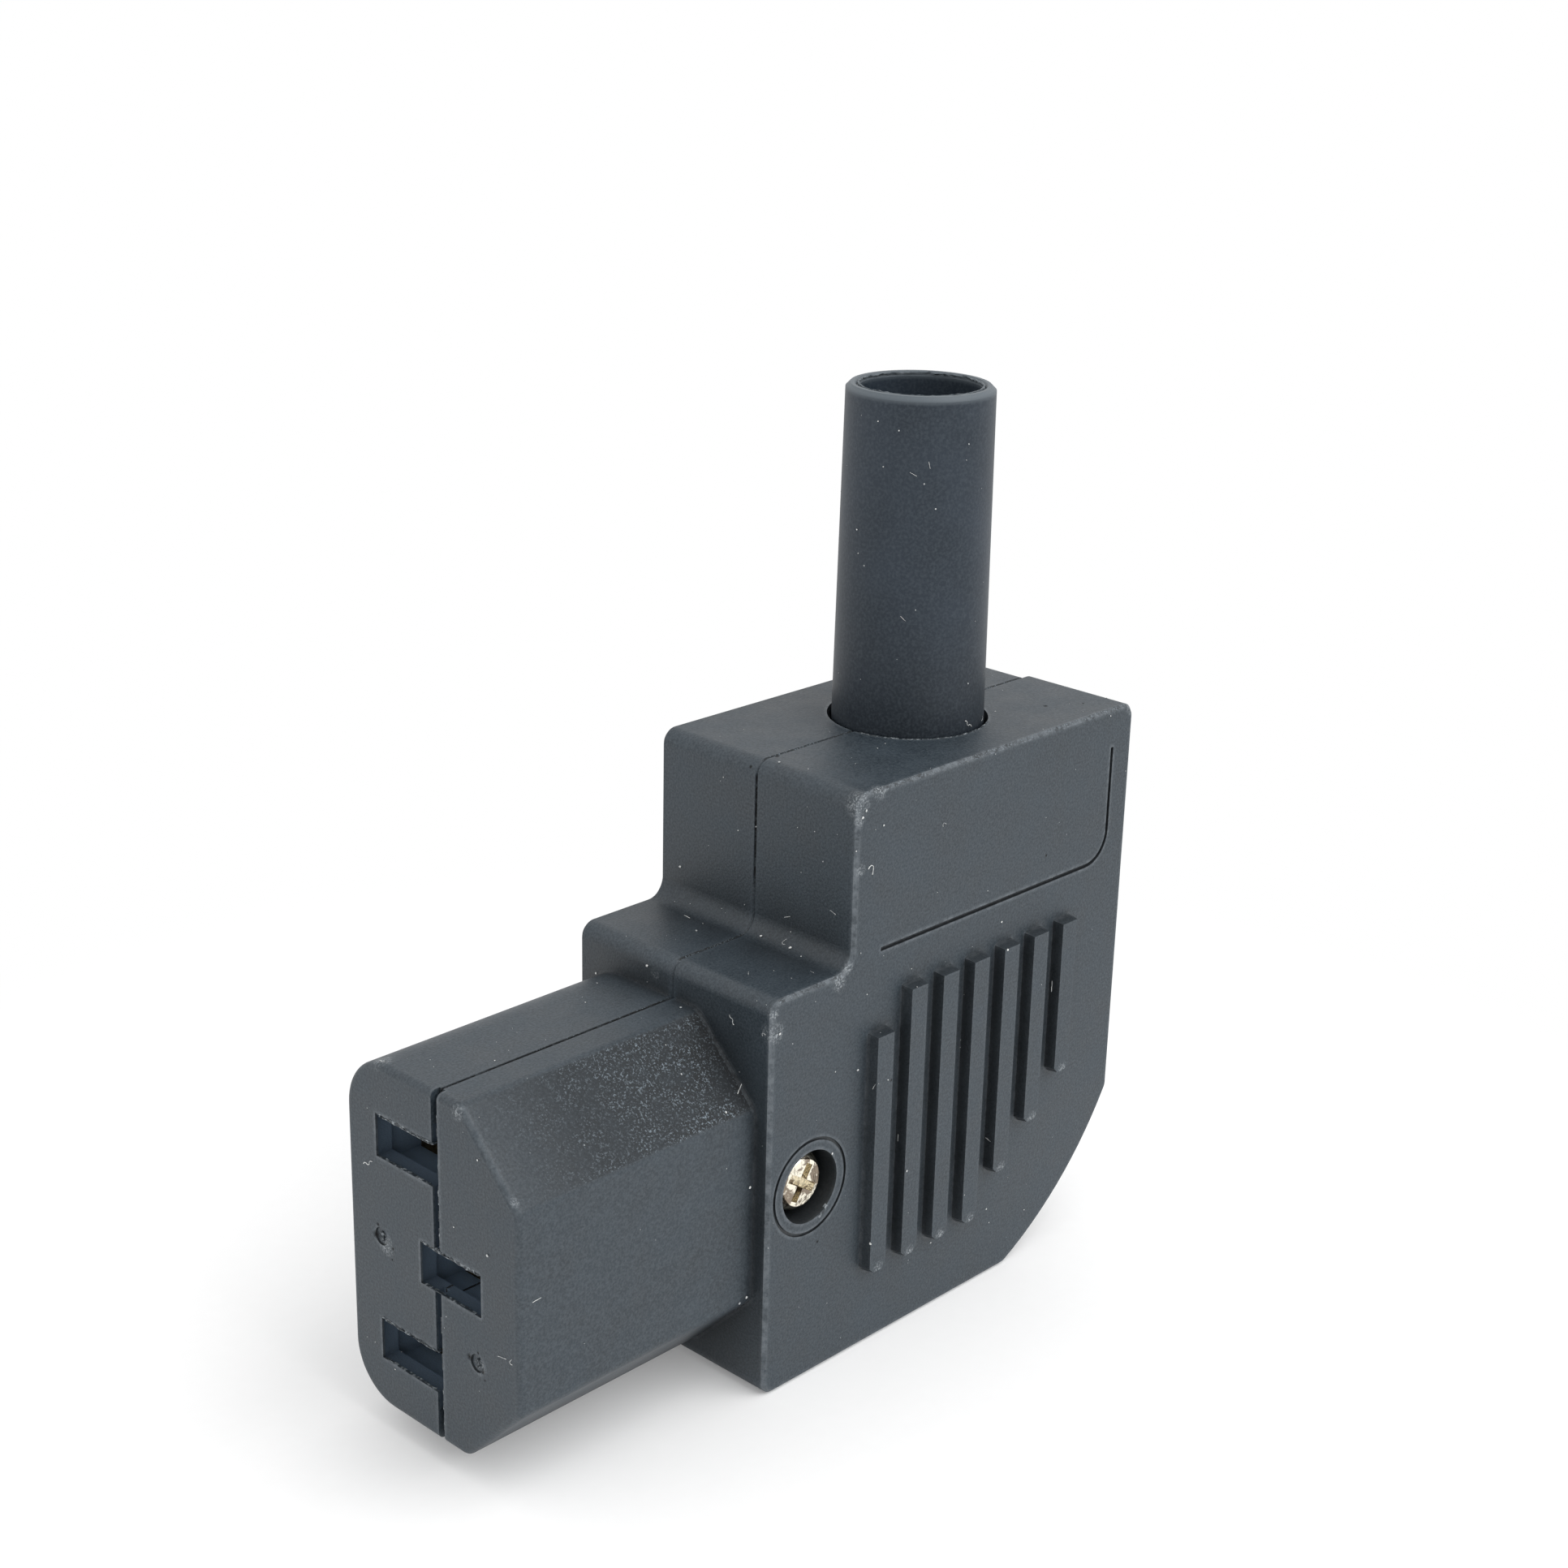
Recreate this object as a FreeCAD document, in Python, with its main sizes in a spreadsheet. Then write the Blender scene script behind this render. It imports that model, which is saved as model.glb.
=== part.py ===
"""Right-angle power connector with three flat contacts, a two-part shell and a rubber cable sleeve.

Working axes: X runs from the tip of the nose into the body, Y goes from the front shell to the
rear shell, Z is up, and zero is the middle of the nose's tip. Each sub-part is then placed so that
the row's origin is the middle of the box that the part fills, at its base.
"""
import FreeCAD, Part
import math
import os

import Sketcher

os.makedirs("parts", exist_ok=True)
doc = FreeCAD.newDocument("AngledConnector")

# Driving dimensions, in millimetres and degrees
SIZES = {
    "nose_length": (19.2, "tip of the nose to the shoulder of the body"),
    "nose_width": (15.9, "nose across its two flanks"),
    "nose_height": (23.6, "nose from bottom to top"),
    "nose_chamfer": (5.1, "flat chamfers on the earth side of the nose"),
    "nose_corner": (3.7, "rounded corners on the live side of the nose"),
    "nose_tip_round": (0.45, "rounding of the tip's rim"),
    "chamfer_round": (0.9, "rounding where a chamfer meets a flank"),
    "face_skin": (1.2, "thickness of the slotted face"),
    "pin_pitch": (14.0, "line pin to neutral pin"),
    "row_pitch": (4.0, "earth row to the live row"),
    "row_shift": (0.3, "middle of the two rows, off the nose's middle"),
    "slot_length": (5.6, "slot across the flat pin"),
    "slot_height": (2.9, "slot along the thin side of the pin"),
    "seam_offset": (0.45, "seam plane, on the earth side of the nose's middle"),
    "seam_bevel": (0.12, "small bevel on both shells along the seam"),
    "tip_gap_rear": (0.2, "seam gap on the face, in the rear shell"),
    "tip_gap_front": (0.35, "seam gap on the face, in the front shell"),
    "tip_gap_depth": (0.7, "depth of the seam gap on the face"),
    "shell_depth": (8.7, "each shell, from the seam to its outer face"),
    "shell_wall": (1.6, "wall of both shells"),
    "body_bottom": (13.45, "bottom of the body below the nose's middle"),
    "shelf_height": (14.25, "top of the lower block above the nose's middle"),
    "block_top": (25.85, "top of the upper block above the nose's middle"),
    "block_setback": (7.2, "front of the upper block behind the shoulder"),
    "body_length": (35.2, "shoulder to the back of the front shell"),
    "back_step": (0.7, "rear shell's back, set in from the front shell's"),
    "corner_rise": (10.3, "height of the swept rear corner"),
    "corner_run": (10.9, "length of the swept rear corner"),
    "corner_radius": (24.7, "radius of the swept rear corner"),
    "rim_bevel": (0.22, "bevel around each shell's outer face"),
    "corner_round": (1.0, "rounded corners of the side profile"),
    "shelf_fillet": (1.3, "hollow between shelf and upper block"),
    "rib_first": (28.1, "first rib, from the nose's tip"),
    "rib_pitch": (3.12, "rib to rib"),
    "rib_width": (1.75, "rib at its root"),
    "rib_height": (0.8, "rib above the shell"),
    "rib_draft": (8.0, "draft of the rib's walls, in degrees"),
    "rib_top": (11.8, "top of the long ribs above the nose's middle"),
    "rib_first_top": (9.4, "top of the first rib"),
    "rib_bottom": (7.9, "foot of the long ribs below the nose's middle"),
    "rib_foot_bevel": (0.45, "bevelled corners at each rib's foot"),
    "rib_step": (2.75, "rise of each foot along the swept corner"),
    "frame_left": (9.8, "start of the frame line behind the shoulder"),
    "frame_right": (2.05, "frame line in front of the back"),
    "frame_low": (0.55, "frame line above the shelf"),
    "frame_high": (2.8, "end of the frame line below the top"),
    "frame_line": (0.28, "width of the engraved frame line"),
    "frame_depth": (0.22, "depth of the engraved frame line"),
    "frame_corner": (2.0, "corner radius of the frame line"),
    "screw_setback": (3.85, "casing screw behind the shoulder"),
    "screw_rise": (0.35, "casing screw above the nose's middle"),
    "screw_radius": (1.5, "casing screw's thread"),
    "screw_head_radius": (2.2, "casing screw's head"),
    "screw_head_height": (1.6, "casing screw's head"),
    "head_recess": (2.3, "head's seat below the shell's face"),
    "head_gap": (0.3, "casing screw's head to its well"),
    "well_land": (0.65, "flat between the well and the engraved ring"),
    "well_ring_width": (0.22, "width of that ring"),
    "well_ring_depth": (0.15, "depth of that ring"),
    "screw_boss_radius": (3.4, "boss around the casing screw"),
    "screw_clearance": (0.12, "thread to hole, on the radius"),
    "nut_across": (5.5, "casing nut across its flats"),
    "nut_height": (2.4, "casing nut"),
    "nut_sink": (0.1, "casing nut below the rear shell's face"),
    "nut_boss_radius": (4.2, "base of the boss around the casing nut"),
    "nut_boss_cover": (1.0, "plastic over the casing nut's pocket"),
    "fit_gap": (0.1, "clearance around captive pieces"),
    "contact_gap": (0.3, "clearance beside and behind the contacts"),
    "blade_gap": (1.9, "free space between a contact's blades at the pinch"),
    "blade_flare": (2.9, "free space between the blades at the mouth"),
    "blade_root": (2.3, "free space between the blades at the root"),
    "blade_length": (10.4, "contact blades, mouth to root"),
    "blade_pinch": (2.6, "pinch line behind the mouth"),
    "blade_margin": (0.8, "slot's length beyond the contact blades' width"),
    "contact_mouth": (2.2, "mouth of a contact behind the face's skin"),
    "contact_sheet": (0.6, "brass sheet"),
    "tail_width": (3.6, "brass tail of the live contacts"),
    "earth_tail_width": (2.3, "brass tail of the earth contact"),
    "earth_jog": (1.95, "earth tail's turn behind the blades' root"),
    "boss_gap": (0.65, "earth tail to the casing screw's boss"),
    "terminal_setback": (11.8, "live terminals behind the shoulder"),
    "earth_terminal_setback": (18.8, "earth terminal behind the shoulder"),
    "terminal_square": (6.2, "contact's terminal plate"),
    "terminal_seat": (7.4, "plastic seat under a terminal"),
    "terminal_screw_radius": (1.5, "terminal screw's thread"),
    "terminal_head_radius": (2.6, "terminal screw's head"),
    "terminal_head_height": (1.7, "terminal screw's head"),
    "terminal_nut": (5.5, "square terminal nut across its flats"),
    "terminal_nut_height": (1.8, "square terminal nut"),
    "wire_clamp_square": (6.0, "wire clamp washer"),
    "wire_clamp_sheet": (0.8, "wire clamp washer's sheet"),
    "sleeve_shift": (0.4, "sleeve's axis behind the middle of the upper block"),
    "sleeve_length": (22.25, "sleeve above the body"),
    "sleeve_bore_radius": (4.0, "bore of the sleeve"),
    "sleeve_base_wall": (1.1, "sleeve's wall where it leaves the body"),
    "sleeve_rim_wall": (0.85, "sleeve's wall at its rim"),
    "sleeve_rim_bevel": (0.3, "bevel of the sleeve's rim"),
    "sleeve_hole_gap": (0.3, "sleeve to the hole in the shells"),
    "collar_gap": (0.2, "sleeve's collar to the shells' walls"),
    "collar_height": (2.0, "sleeve's collar"),
    "collar_wall": (1.4, "cross wall under the collar"),
    "sleeve_tail": (2.6, "sleeve below its collar"),
    "clamp_drop": (9.7, "cord clamp below the body's top"),
    "clamp_reach": (2.4, "cord clamp screws beside the clamp's arch"),
    "clamp_post_radius": (2.4, "posts under the cord clamp"),
    "clamp_post_rise": (2.2, "posts above the seam"),
    "clamp_sheet": (1.5, "cord clamp's thickness"),
    "clamp_width": (4.6, "cord clamp along the cord"),
    "clamp_arch_gap": (0.2, "cord clamp's arch beyond the sleeve's bore"),
    "clamp_screw_radius": (1.25, "cord clamp screws"),
    "clamp_screw_length": (8.0, "cord clamp screws under the head"),
    "clamp_head_radius": (2.05, "cord clamp screws' heads"),
    "clamp_head_height": (1.5, "cord clamp screws' heads"),
    "saddle_thickness": (1.6, "ribs that carry the cord under the clamp"),
    "lip_height": (1.2, "locating lips of the front shell"),
    "lip_thickness": (0.8, "locating lips of the front shell"),
    "gate_mark_radius": (0.6, "moulding gate marks on the face"),
    "gate_mark_depth": (0.12, "moulding gate marks on the face"),
    "rear_mark_across": (4.85, "gate mark of the rear shell, from the nose's middle"),
    "rear_mark_up": (0.15, "gate mark of the rear shell, above the nose's middle"),
    "front_mark_across": (4.05, "gate mark of the front shell, from the nose's middle"),
    "front_mark_down": (4.7, "gate mark of the front shell, below the nose's middle"),
    "recess_arm": (0.6, "arm width of a cross recess"),
    "recess_depth": (1.0, "depth of a cross recess"),
}
RIB_COUNT = 7
STEPPED_RIBS = 3

# Shares of a screw head's own size: where a domed one's side ends and its top begins, and its cross
HEAD_SIDE = 0.45
HEAD_TOP = 0.72
CROSS_REACH = 0.6

# Turn of each screw's cross, in degrees
CASING_SCREW_TURN = 32
CLAMP_SCREW_TURNS = (20, 65)
TERMINAL_TURNS = {"line": 12, "neutral": 50, "earth": 78}

sheet = doc.addObject("Spreadsheet::Sheet", "Sizes")
for row, (alias, (number, meaning)) in enumerate(SIZES.items(), start=1):
    sheet.set(f"A{row}", alias)
    sheet.set(f"B{row}", str(number))
    sheet.set(f"C{row}", meaning)
    sheet.setAlias(f"B{row}", alias)
doc.recompute()


class Length:
    """A length that knows its value and the expression of driving dimensions behind it."""

    def __init__(self, value, text):
        self.value = value
        self.text = text

    def __add__(self, other):
        other = length_of(other)
        return Length(self.value + other.value, f"({self.text} + {other.text})")

    def __sub__(self, other):
        other = length_of(other)
        return Length(self.value - other.value, f"({self.text} - {other.text})")

    def __mul__(self, factor):
        return Length(self.value * factor, f"{self.text} * {factor}")

    def __truediv__(self, divisor):
        return Length(self.value / divisor, f"{self.text} / {divisor}")

    def __neg__(self):
        return Length(-self.value, f"(0 - {self.text})")

    def __rsub__(self, other):
        return length_of(other) - self

    __radd__ = __add__
    __rmul__ = __mul__


def length_of(item):
    return item if isinstance(item, Length) else Length(float(item), str(float(item)))


def size(alias):
    """One driving dimension."""
    return Length(SIZES[alias][0], f"Sizes.{alias}")


def bind(feature, prop, length):
    """Tie a property to the driving dimensions."""
    feature.setExpression(prop, length.text)


# Places that several pieces share
SEAM = -size("seam_offset")
REAR_FACE = SEAM + size("shell_depth")
FRONT_FACE = SEAM - size("shell_depth")
REAR_FLOOR = REAR_FACE - size("shell_wall")
FRONT_FLOOR = FRONT_FACE + size("shell_wall")
SHOULDER = size("nose_length")
BOTTOM = -size("body_bottom")
SHELF = size("shelf_height")
TOP = size("block_top")
BLOCK_FRONT = SHOULDER + size("block_setback")
BACK = SHOULDER + size("body_length")
NOSE_SIDE = size("nose_width") / 2
NOSE_TOP = size("nose_height") / 2
LIVE_ROW = size("row_pitch") / 2 + size("row_shift")
EARTH_ROW = size("row_shift") - size("row_pitch") / 2
LINE_Z = size("pin_pitch") / 2
NEUTRAL_Z = -size("pin_pitch") / 2
EARTH_Z = length_of(0)
SCREW_X = SHOULDER + size("screw_setback")
SCREW_Z = size("screw_rise")
SLEEVE_X = (BLOCK_FRONT + BACK) / 2 + size("sleeve_shift")
LIVE_PLATE = LIVE_ROW + size("slot_length") / 2 + size("contact_gap")
EARTH_PLATE = EARTH_ROW + size("slot_length") / 2 + size("contact_gap")
LIVE_TERMINAL_X = SHOULDER + size("terminal_setback")
EARTH_TERMINAL_X = SHOULDER + size("earth_terminal_setback")
CLAMP_Z = TOP - size("clamp_drop")
CLAMP_ARCH = size("sleeve_bore_radius") + size("clamp_arch_gap")
CLAMP_SPREAD = CLAMP_ARCH + size("clamp_reach")
CLAMP_X = (SLEEVE_X - CLAMP_SPREAD, SLEEVE_X + CLAMP_SPREAD)
POST_TOP = SEAM - size("clamp_post_rise")
TERMINALS = {
    "line": (LIVE_TERMINAL_X, LINE_Z, LIVE_PLATE),
    "neutral": (LIVE_TERMINAL_X, NEUTRAL_Z, LIVE_PLATE),
    "earth": (EARTH_TERMINAL_X, EARTH_Z, EARTH_PLATE),
}
CHAMBER_START = size("face_skin")
CHAMBER_END = SHOULDER + size("shell_wall")
CHAMBER_HALF = size("blade_flare") / 2 + size("contact_sheet") + size("fit_gap")
BLADE_MOUTH = CHAMBER_START + size("contact_mouth")
BLADE_ROOT = BLADE_MOUTH + size("blade_length")
EARTH_BOX_END = BLADE_ROOT + size("contact_gap")
EARTH_DROP = SCREW_Z - size("screw_boss_radius") - size("boss_gap") - size("earth_tail_width") / 2
EARTH_JOG = BLADE_ROOT + size("earth_jog")
EARTH_TURN = EARTH_JOG + size("earth_tail_width")
WELL_RADIUS = size("screw_head_radius") + size("head_gap")
SLEEVE_RADIUS = size("sleeve_bore_radius") + size("sleeve_base_wall")
SLEEVE_RIM_RADIUS = size("sleeve_bore_radius") + size("sleeve_rim_wall")
HOLE_RADIUS = SLEEVE_RADIUS + size("sleeve_hole_gap")
COLLAR_RADIUS = size("shell_depth") - size("shell_wall") - size("collar_gap")
COLLAR_TOP = TOP - size("shell_wall") - size("fit_gap")
COLLAR_LOW = COLLAR_TOP - size("collar_height")
CROSS_WALL_TOP = COLLAR_LOW - size("fit_gap")
CROSS_WALL_LOW = CROSS_WALL_TOP - size("collar_wall")

# Shift from the working axes to the row's origin
ROW_SHIFT_X = -BACK / 2
ROW_SHIFT_Y = -(FRONT_FACE - size("rib_height") + REAR_FACE) / 2
ROW_SHIFT_Z = size("body_bottom")

NEAR = 1e-4
PLANES = {"XY": ("XY_Plane", 1), "XZ": ("XZ_Plane", -1), "YZ": ("YZ_Plane", 1)}
bodies = []


def new_body(name):
    """A sub-part: its label is the node's name."""
    body = doc.addObject("PartDesign::Body", name)
    body.Label = name
    bind(body, "Placement.Base.x", ROW_SHIFT_X)
    bind(body, "Placement.Base.y", ROW_SHIFT_Y)
    bind(body, "Placement.Base.z", ROW_SHIFT_Z)
    bodies.append(body)
    return body


def new_sketch(body, name, plane, level=0):
    """A sketch on one of the body's origin planes, at a level along the missing axis."""
    role, sign = PLANES[plane]
    sketch = body.newObject("Sketcher::SketchObject", f"{body.Name}_{name}")
    support = [feature for feature in body.Origin.OriginFeatures if feature.Role == role][0]
    sketch.AttachmentSupport = [(support, "")]
    sketch.MapMode = "FlatFace"
    level = length_of(level)
    bind(sketch, "AttachmentOffset.Base.z", level if sign > 0 else -level)
    return sketch


def pin_point(sketch, geometry, vertex, point):
    """Hold a vertex at a place given by two lengths."""
    for kind, length in zip(("DistanceX", "DistanceY"), point):
        length = length_of(length)
        row = sketch.addConstraint(Sketcher.Constraint(kind, -1, 1, geometry, vertex, length.value))
        sketch.setExpression(f"Constraints[{row}]", length.text)


def at(point):
    return FreeCAD.Vector(length_of(point[0]).value, length_of(point[1]).value, 0)


def arc_through(start, end, radius):
    """The arc that bulges outward between two points of a counter-clockwise outline."""
    first, last = at(start), at(end)
    middle = (first + last) * 0.5
    chord = last - first
    sagitta = radius.value - math.sqrt(radius.value ** 2 - (chord.Length / 2) ** 2)
    outward = FreeCAD.Vector(chord.y, -chord.x, 0).normalize()
    return Part.Arc(first, middle + outward * sagitta, last)


def outline(sketch, corners, arcs=None):
    """A closed outline, each corner tied to the sheet; arcs maps a side's number to its radius."""
    arcs = arcs or {}
    sides = []
    for number, corner in enumerate(corners):
        following = corners[(number + 1) % len(corners)]
        if number in arcs:
            curve = arc_through(corner, following, arcs[number])
        else:
            curve = Part.LineSegment(at(corner), at(following))
        sides.append(sketch.addGeometry(curve, False))
    for number, side in enumerate(sides):
        following = sides[(number + 1) % len(sides)]
        meeting = corners[(number + 1) % len(corners)]
        if number in arcs:
            row = sketch.addConstraint(Sketcher.Constraint("Radius", side, arcs[number].value))
            sketch.setExpression(f"Constraints[{row}]", arcs[number].text)
            last = 2 if sketch.Geometry[side].EndPoint.distanceToPoint(at(meeting)) < NEAR else 1
        else:
            last = 2
        first = 1
        if (number + 1) % len(sides) in arcs:
            first = 1 if sketch.Geometry[following].StartPoint.distanceToPoint(at(meeting)) < NEAR else 2
        sketch.addConstraint(Sketcher.Constraint("Coincident", side, last, following, first))
        pin_point(sketch, side, last, meeting)


def rectangle(sketch, low, high):
    outline(sketch, [low, (high[0], low[1]), high, (low[0], high[1])])


def circle(sketch, centre, radius):
    radius = length_of(radius)
    ring = sketch.addGeometry(Part.Circle(at(centre), FreeCAD.Vector(0, 0, 1), radius.value), False)
    pin_point(sketch, ring, 3, centre)
    row = sketch.addConstraint(Sketcher.Constraint("Radius", ring, radius.value))
    sketch.setExpression(f"Constraints[{row}]", radius.text)


def hexagon(sketch, centre, across):
    """A hexagon with two flats parallel to the sketch's X axis."""
    half = across / 2
    corner = across / math.sqrt(3)
    x, y = centre
    outline(sketch, [
        (x + corner, y), (x + corner / 2, y + half), (x - corner / 2, y + half),
        (x - corner, y), (x - corner / 2, y - half), (x + corner / 2, y - half),
    ])


def side_outline(sketch, back, inset):
    """The body's side profile in X and Z; the rear lower corner is one gentle arc."""
    left, low, shelf, top = SHOULDER + inset, BOTTOM + inset, SHELF - inset, TOP - inset
    block, right = BLOCK_FRONT + inset, back - inset
    sweep_start = (back - size("corner_run"), low)
    sweep_end = (right, BOTTOM + size("corner_rise"))
    outline(sketch, [
        (left, low), sweep_start, sweep_end, (right, top), (block, top), (block, shelf), (left, shelf),
    ], {1: size("corner_radius")})


def solid_volume(body):
    return body.Tip.Shape.Volume if body.Tip else 0.0


def pad(body, sketch, length, toward, plane, draft=None):
    """Add material from the sketch, toward +1 or -1 along the missing axis."""
    feature = body.newObject("PartDesign::Pad", sketch.Name + "_pad")
    feature.Profile = sketch
    bind(feature, "Length", length_of(length))
    feature.Reversed = toward != PLANES[plane][1]
    if draft is not None:
        bind(feature, "TaperAngle", -draft)
    doc.recompute()
    return feature


def pocket(body, sketch, length, toward, plane):
    """Cut the sketch's outline away, toward +1 or -1 along the missing axis."""
    before = solid_volume(body)
    feature = body.newObject("PartDesign::Pocket", sketch.Name + "_cut")
    feature.Profile = sketch
    bind(feature, "Length", length_of(length))
    feature.Reversed = toward == PLANES[plane][1]
    doc.recompute()
    if not feature.Shape.Volume < before:
        raise RuntimeError(f"{feature.Name} cuts nothing")
    return feature


def revolve(body, sketch, axis="V_Axis"):
    feature = body.newObject("PartDesign::Revolution", sketch.Name + "_turn")
    feature.Profile = sketch
    feature.ReferenceAxis = (sketch, [axis])
    feature.Angle = 360
    doc.recompute()
    return feature


def dress(body, kind, name, radius, wanted):
    """Round or bevel the edges that the test picks."""
    base = body.Tip
    edges = [f"Edge{number}" for number, edge in enumerate(base.Shape.Edges, start=1) if wanted(edge)]
    if not edges:
        raise RuntimeError(f"no edges for {name} on {body.Name}")
    feature = body.newObject(f"PartDesign::{kind}", f"{body.Name}_{name}")
    feature.Base = (base, edges)
    bind(feature, "Radius" if kind == "Fillet" else "Size", radius)
    doc.recompute()
    return feature


def box_of(edge):
    box = edge.BoundBox
    return (box.XMin, box.XMax), (box.YMin, box.YMax), (box.ZMin, box.ZMax)


def lies_at(span, length):
    """True where an edge's extent along one axis is the single value given."""
    return abs(span[0] - length.value) < NEAR and abs(span[1] - length.value) < NEAR


def is_corner(edge, x, z):
    """An edge along Y at one corner of the side profile."""
    spans = box_of(edge)
    return lies_at(spans[0], x) and lies_at(spans[2], z)


def round_profile(body, face, back):
    """Round a shell's side profile and then the rim of its outer face."""
    corners = [(SHOULDER, BOTTOM), (SHOULDER, SHELF), (BLOCK_FRONT, TOP), (back, TOP),
               (back, BOTTOM + size("corner_rise")), (back - size("corner_run"), BOTTOM)]
    dress(body, "Fillet", "hollow", size("shelf_fillet"), lambda edge: is_corner(edge, BLOCK_FRONT, SHELF))
    dress(body, "Fillet", "corners", size("corner_round"), lambda edge: any(
        is_corner(edge, x, z) for x, z in corners))
    dress(body, "Chamfer", "rim", size("rim_bevel"), lambda edge: lies_at(box_of(edge)[1], face))


def seam_edges(edge, back):
    """The outer edges of a shell's seam face, on the nose and around the body."""
    spans = box_of(edge)
    if not lies_at(spans[1], SEAM):
        return False
    walls = (SHOULDER, BLOCK_FRONT, back)
    floors = (BOTTOM, SHELF, TOP, NOSE_TOP, -NOSE_TOP)
    on_wall = any(lies_at(spans[0], level) for level in walls)
    return on_wall or any(lies_at(spans[2], level) for level in floors)


# Rear shell: carries the contacts, the terminals and the sleeve
def make_rear_shell():
    body = new_body("rear_shell")
    back = BACK - size("back_step")
    sketch = new_sketch(body, "side", "XZ", SEAM)
    side_outline(sketch, back, length_of(0))
    pad(body, sketch, size("shell_depth"), 1, "XZ")
    round_profile(body, REAR_FACE, back)

    sketch = new_sketch(body, "nose", "YZ")
    corner = size("nose_corner")
    outline(sketch, [
        (SEAM, -NOSE_TOP), (NOSE_SIDE - corner, -NOSE_TOP), (NOSE_SIDE, corner - NOSE_TOP),
        (NOSE_SIDE, NOSE_TOP - corner), (NOSE_SIDE - corner, NOSE_TOP), (SEAM, NOSE_TOP),
    ], {1: corner, 3: corner})
    pad(body, sketch, CHAMBER_END, 1, "YZ")
    dress(body, "Fillet", "tip", size("nose_tip_round"), lambda edge: (
        lies_at(box_of(edge)[0], length_of(0)) and box_of(edge)[1][1] > SEAM.value + NEAR))
    dress(body, "Chamfer", "seam", size("seam_bevel"), lambda edge: seam_edges(edge, back))

    sketch = new_sketch(body, "cavity", "XZ", SEAM)
    side_outline(sketch, back, size("shell_wall"))
    pocket(body, sketch, size("shell_depth") - size("shell_wall"), 1, "XZ")

    root = size("shell_wall") / 2
    sketch = new_sketch(body, "screw_boss", "XZ", SEAM)
    circle(sketch, (SCREW_X, SCREW_Z), size("screw_boss_radius"))
    pad(body, sketch, REAR_FLOOR - SEAM + root, 1, "XZ")
    collar = REAR_FACE - size("nut_height") - size("nut_sink") - size("nut_boss_cover")
    sketch = new_sketch(body, "nut_boss", "XZ", collar)
    circle(sketch, (SCREW_X, SCREW_Z), size("nut_boss_radius"))
    pad(body, sketch, REAR_FLOOR - collar + root, 1, "XZ")

    half = size("terminal_seat") / 2
    for name in TERMINALS:
        x, z, plate = TERMINALS[name]
        sketch = new_sketch(body, f"{name}_seat", "XZ", plate)
        rectangle(sketch, (x - half, z - half), (x + half, z + half))
        pad(body, sketch, REAR_FLOOR - plate + root, 1, "XZ")

    sketch = new_sketch(body, "posts", "XZ", POST_TOP)
    for x in CLAMP_X:
        circle(sketch, (x, CLAMP_Z), size("clamp_post_radius"))
    pad(body, sketch, REAR_FLOOR - POST_TOP + root, 1, "XZ")

    saddle_top = SEAM + CLAMP_ARCH
    half = size("saddle_thickness") / 2
    sketch = new_sketch(body, "saddle", "XZ", saddle_top)
    rectangle(sketch, (CLAMP_X[0], CLAMP_Z - half), (CLAMP_X[1], CLAMP_Z + half))
    pad(body, sketch, REAR_FLOOR - saddle_top + root, 1, "XZ")

    add_collar_wall(body, SEAM, REAR_FLOOR, 1)

    for name, centre in (("line", LINE_Z), ("neutral", NEUTRAL_Z)):
        sketch = new_sketch(body, f"{name}_chamber", "XZ", SEAM)
        rectangle(sketch, (CHAMBER_START, centre - CHAMBER_HALF), (CHAMBER_END, centre + CHAMBER_HALF))
        pocket(body, sketch, LIVE_PLATE - SEAM, 1, "XZ")
    room = size("earth_tail_width") / 2 + size("contact_gap")
    left, right = EARTH_JOG - size("contact_gap"), EARTH_TURN + size("contact_gap")
    low, high = EARTH_DROP - room, EARTH_DROP + room
    sketch = new_sketch(body, "earth_chamber", "XZ", SEAM)
    outline(sketch, [
        (CHAMBER_START, -CHAMBER_HALF), (left, -CHAMBER_HALF), (left, low), (CHAMBER_END, low),
        (CHAMBER_END, high), (right, high), (right, CHAMBER_HALF), (CHAMBER_START, CHAMBER_HALF),
    ])
    pocket(body, sketch, EARTH_PLATE - SEAM, 1, "XZ")

    half = size("slot_height") / 2
    sketch = new_sketch(body, "slots", "YZ")
    for z in (LINE_Z, NEUTRAL_Z):
        rectangle(sketch, (SEAM, z - half), (LIVE_ROW + size("slot_length") / 2, z + half))
    rectangle(sketch, (SEAM, -half), (EARTH_ROW + size("slot_length") / 2, half))
    pocket(body, sketch, CHAMBER_START + size("fit_gap"), 1, "YZ")

    sketch = new_sketch(body, "tip_gap", "YZ")
    rectangle(sketch, (SEAM, -NOSE_TOP), (SEAM + size("tip_gap_rear"), NOSE_TOP))
    pocket(body, sketch, size("tip_gap_depth"), 1, "YZ")
    cut_gate_mark(body, size("rear_mark_across"), size("rear_mark_up"))

    sketch = new_sketch(body, "screw_hole", "XZ", SEAM)
    circle(sketch, (SCREW_X, SCREW_Z), size("screw_radius") + size("screw_clearance"))
    pocket(body, sketch, size("shell_depth"), 1, "XZ")
    sketch = new_sketch(body, "nut_pocket", "XZ", REAR_FACE)
    hexagon(sketch, (SCREW_X, SCREW_Z), size("nut_across") + size("fit_gap") * 2)
    pocket(body, sketch, size("nut_height") + size("nut_sink"), -1, "XZ")

    half = size("terminal_nut") / 2 + size("fit_gap")
    for name in TERMINALS:
        x, z, plate = TERMINALS[name]
        sketch = new_sketch(body, f"{name}_nut_pocket", "XZ", plate)
        rectangle(sketch, (x - half, z - half), (x + half, z + half))
        pocket(body, sketch, size("terminal_nut_height") + size("fit_gap"), 1, "XZ")

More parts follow.
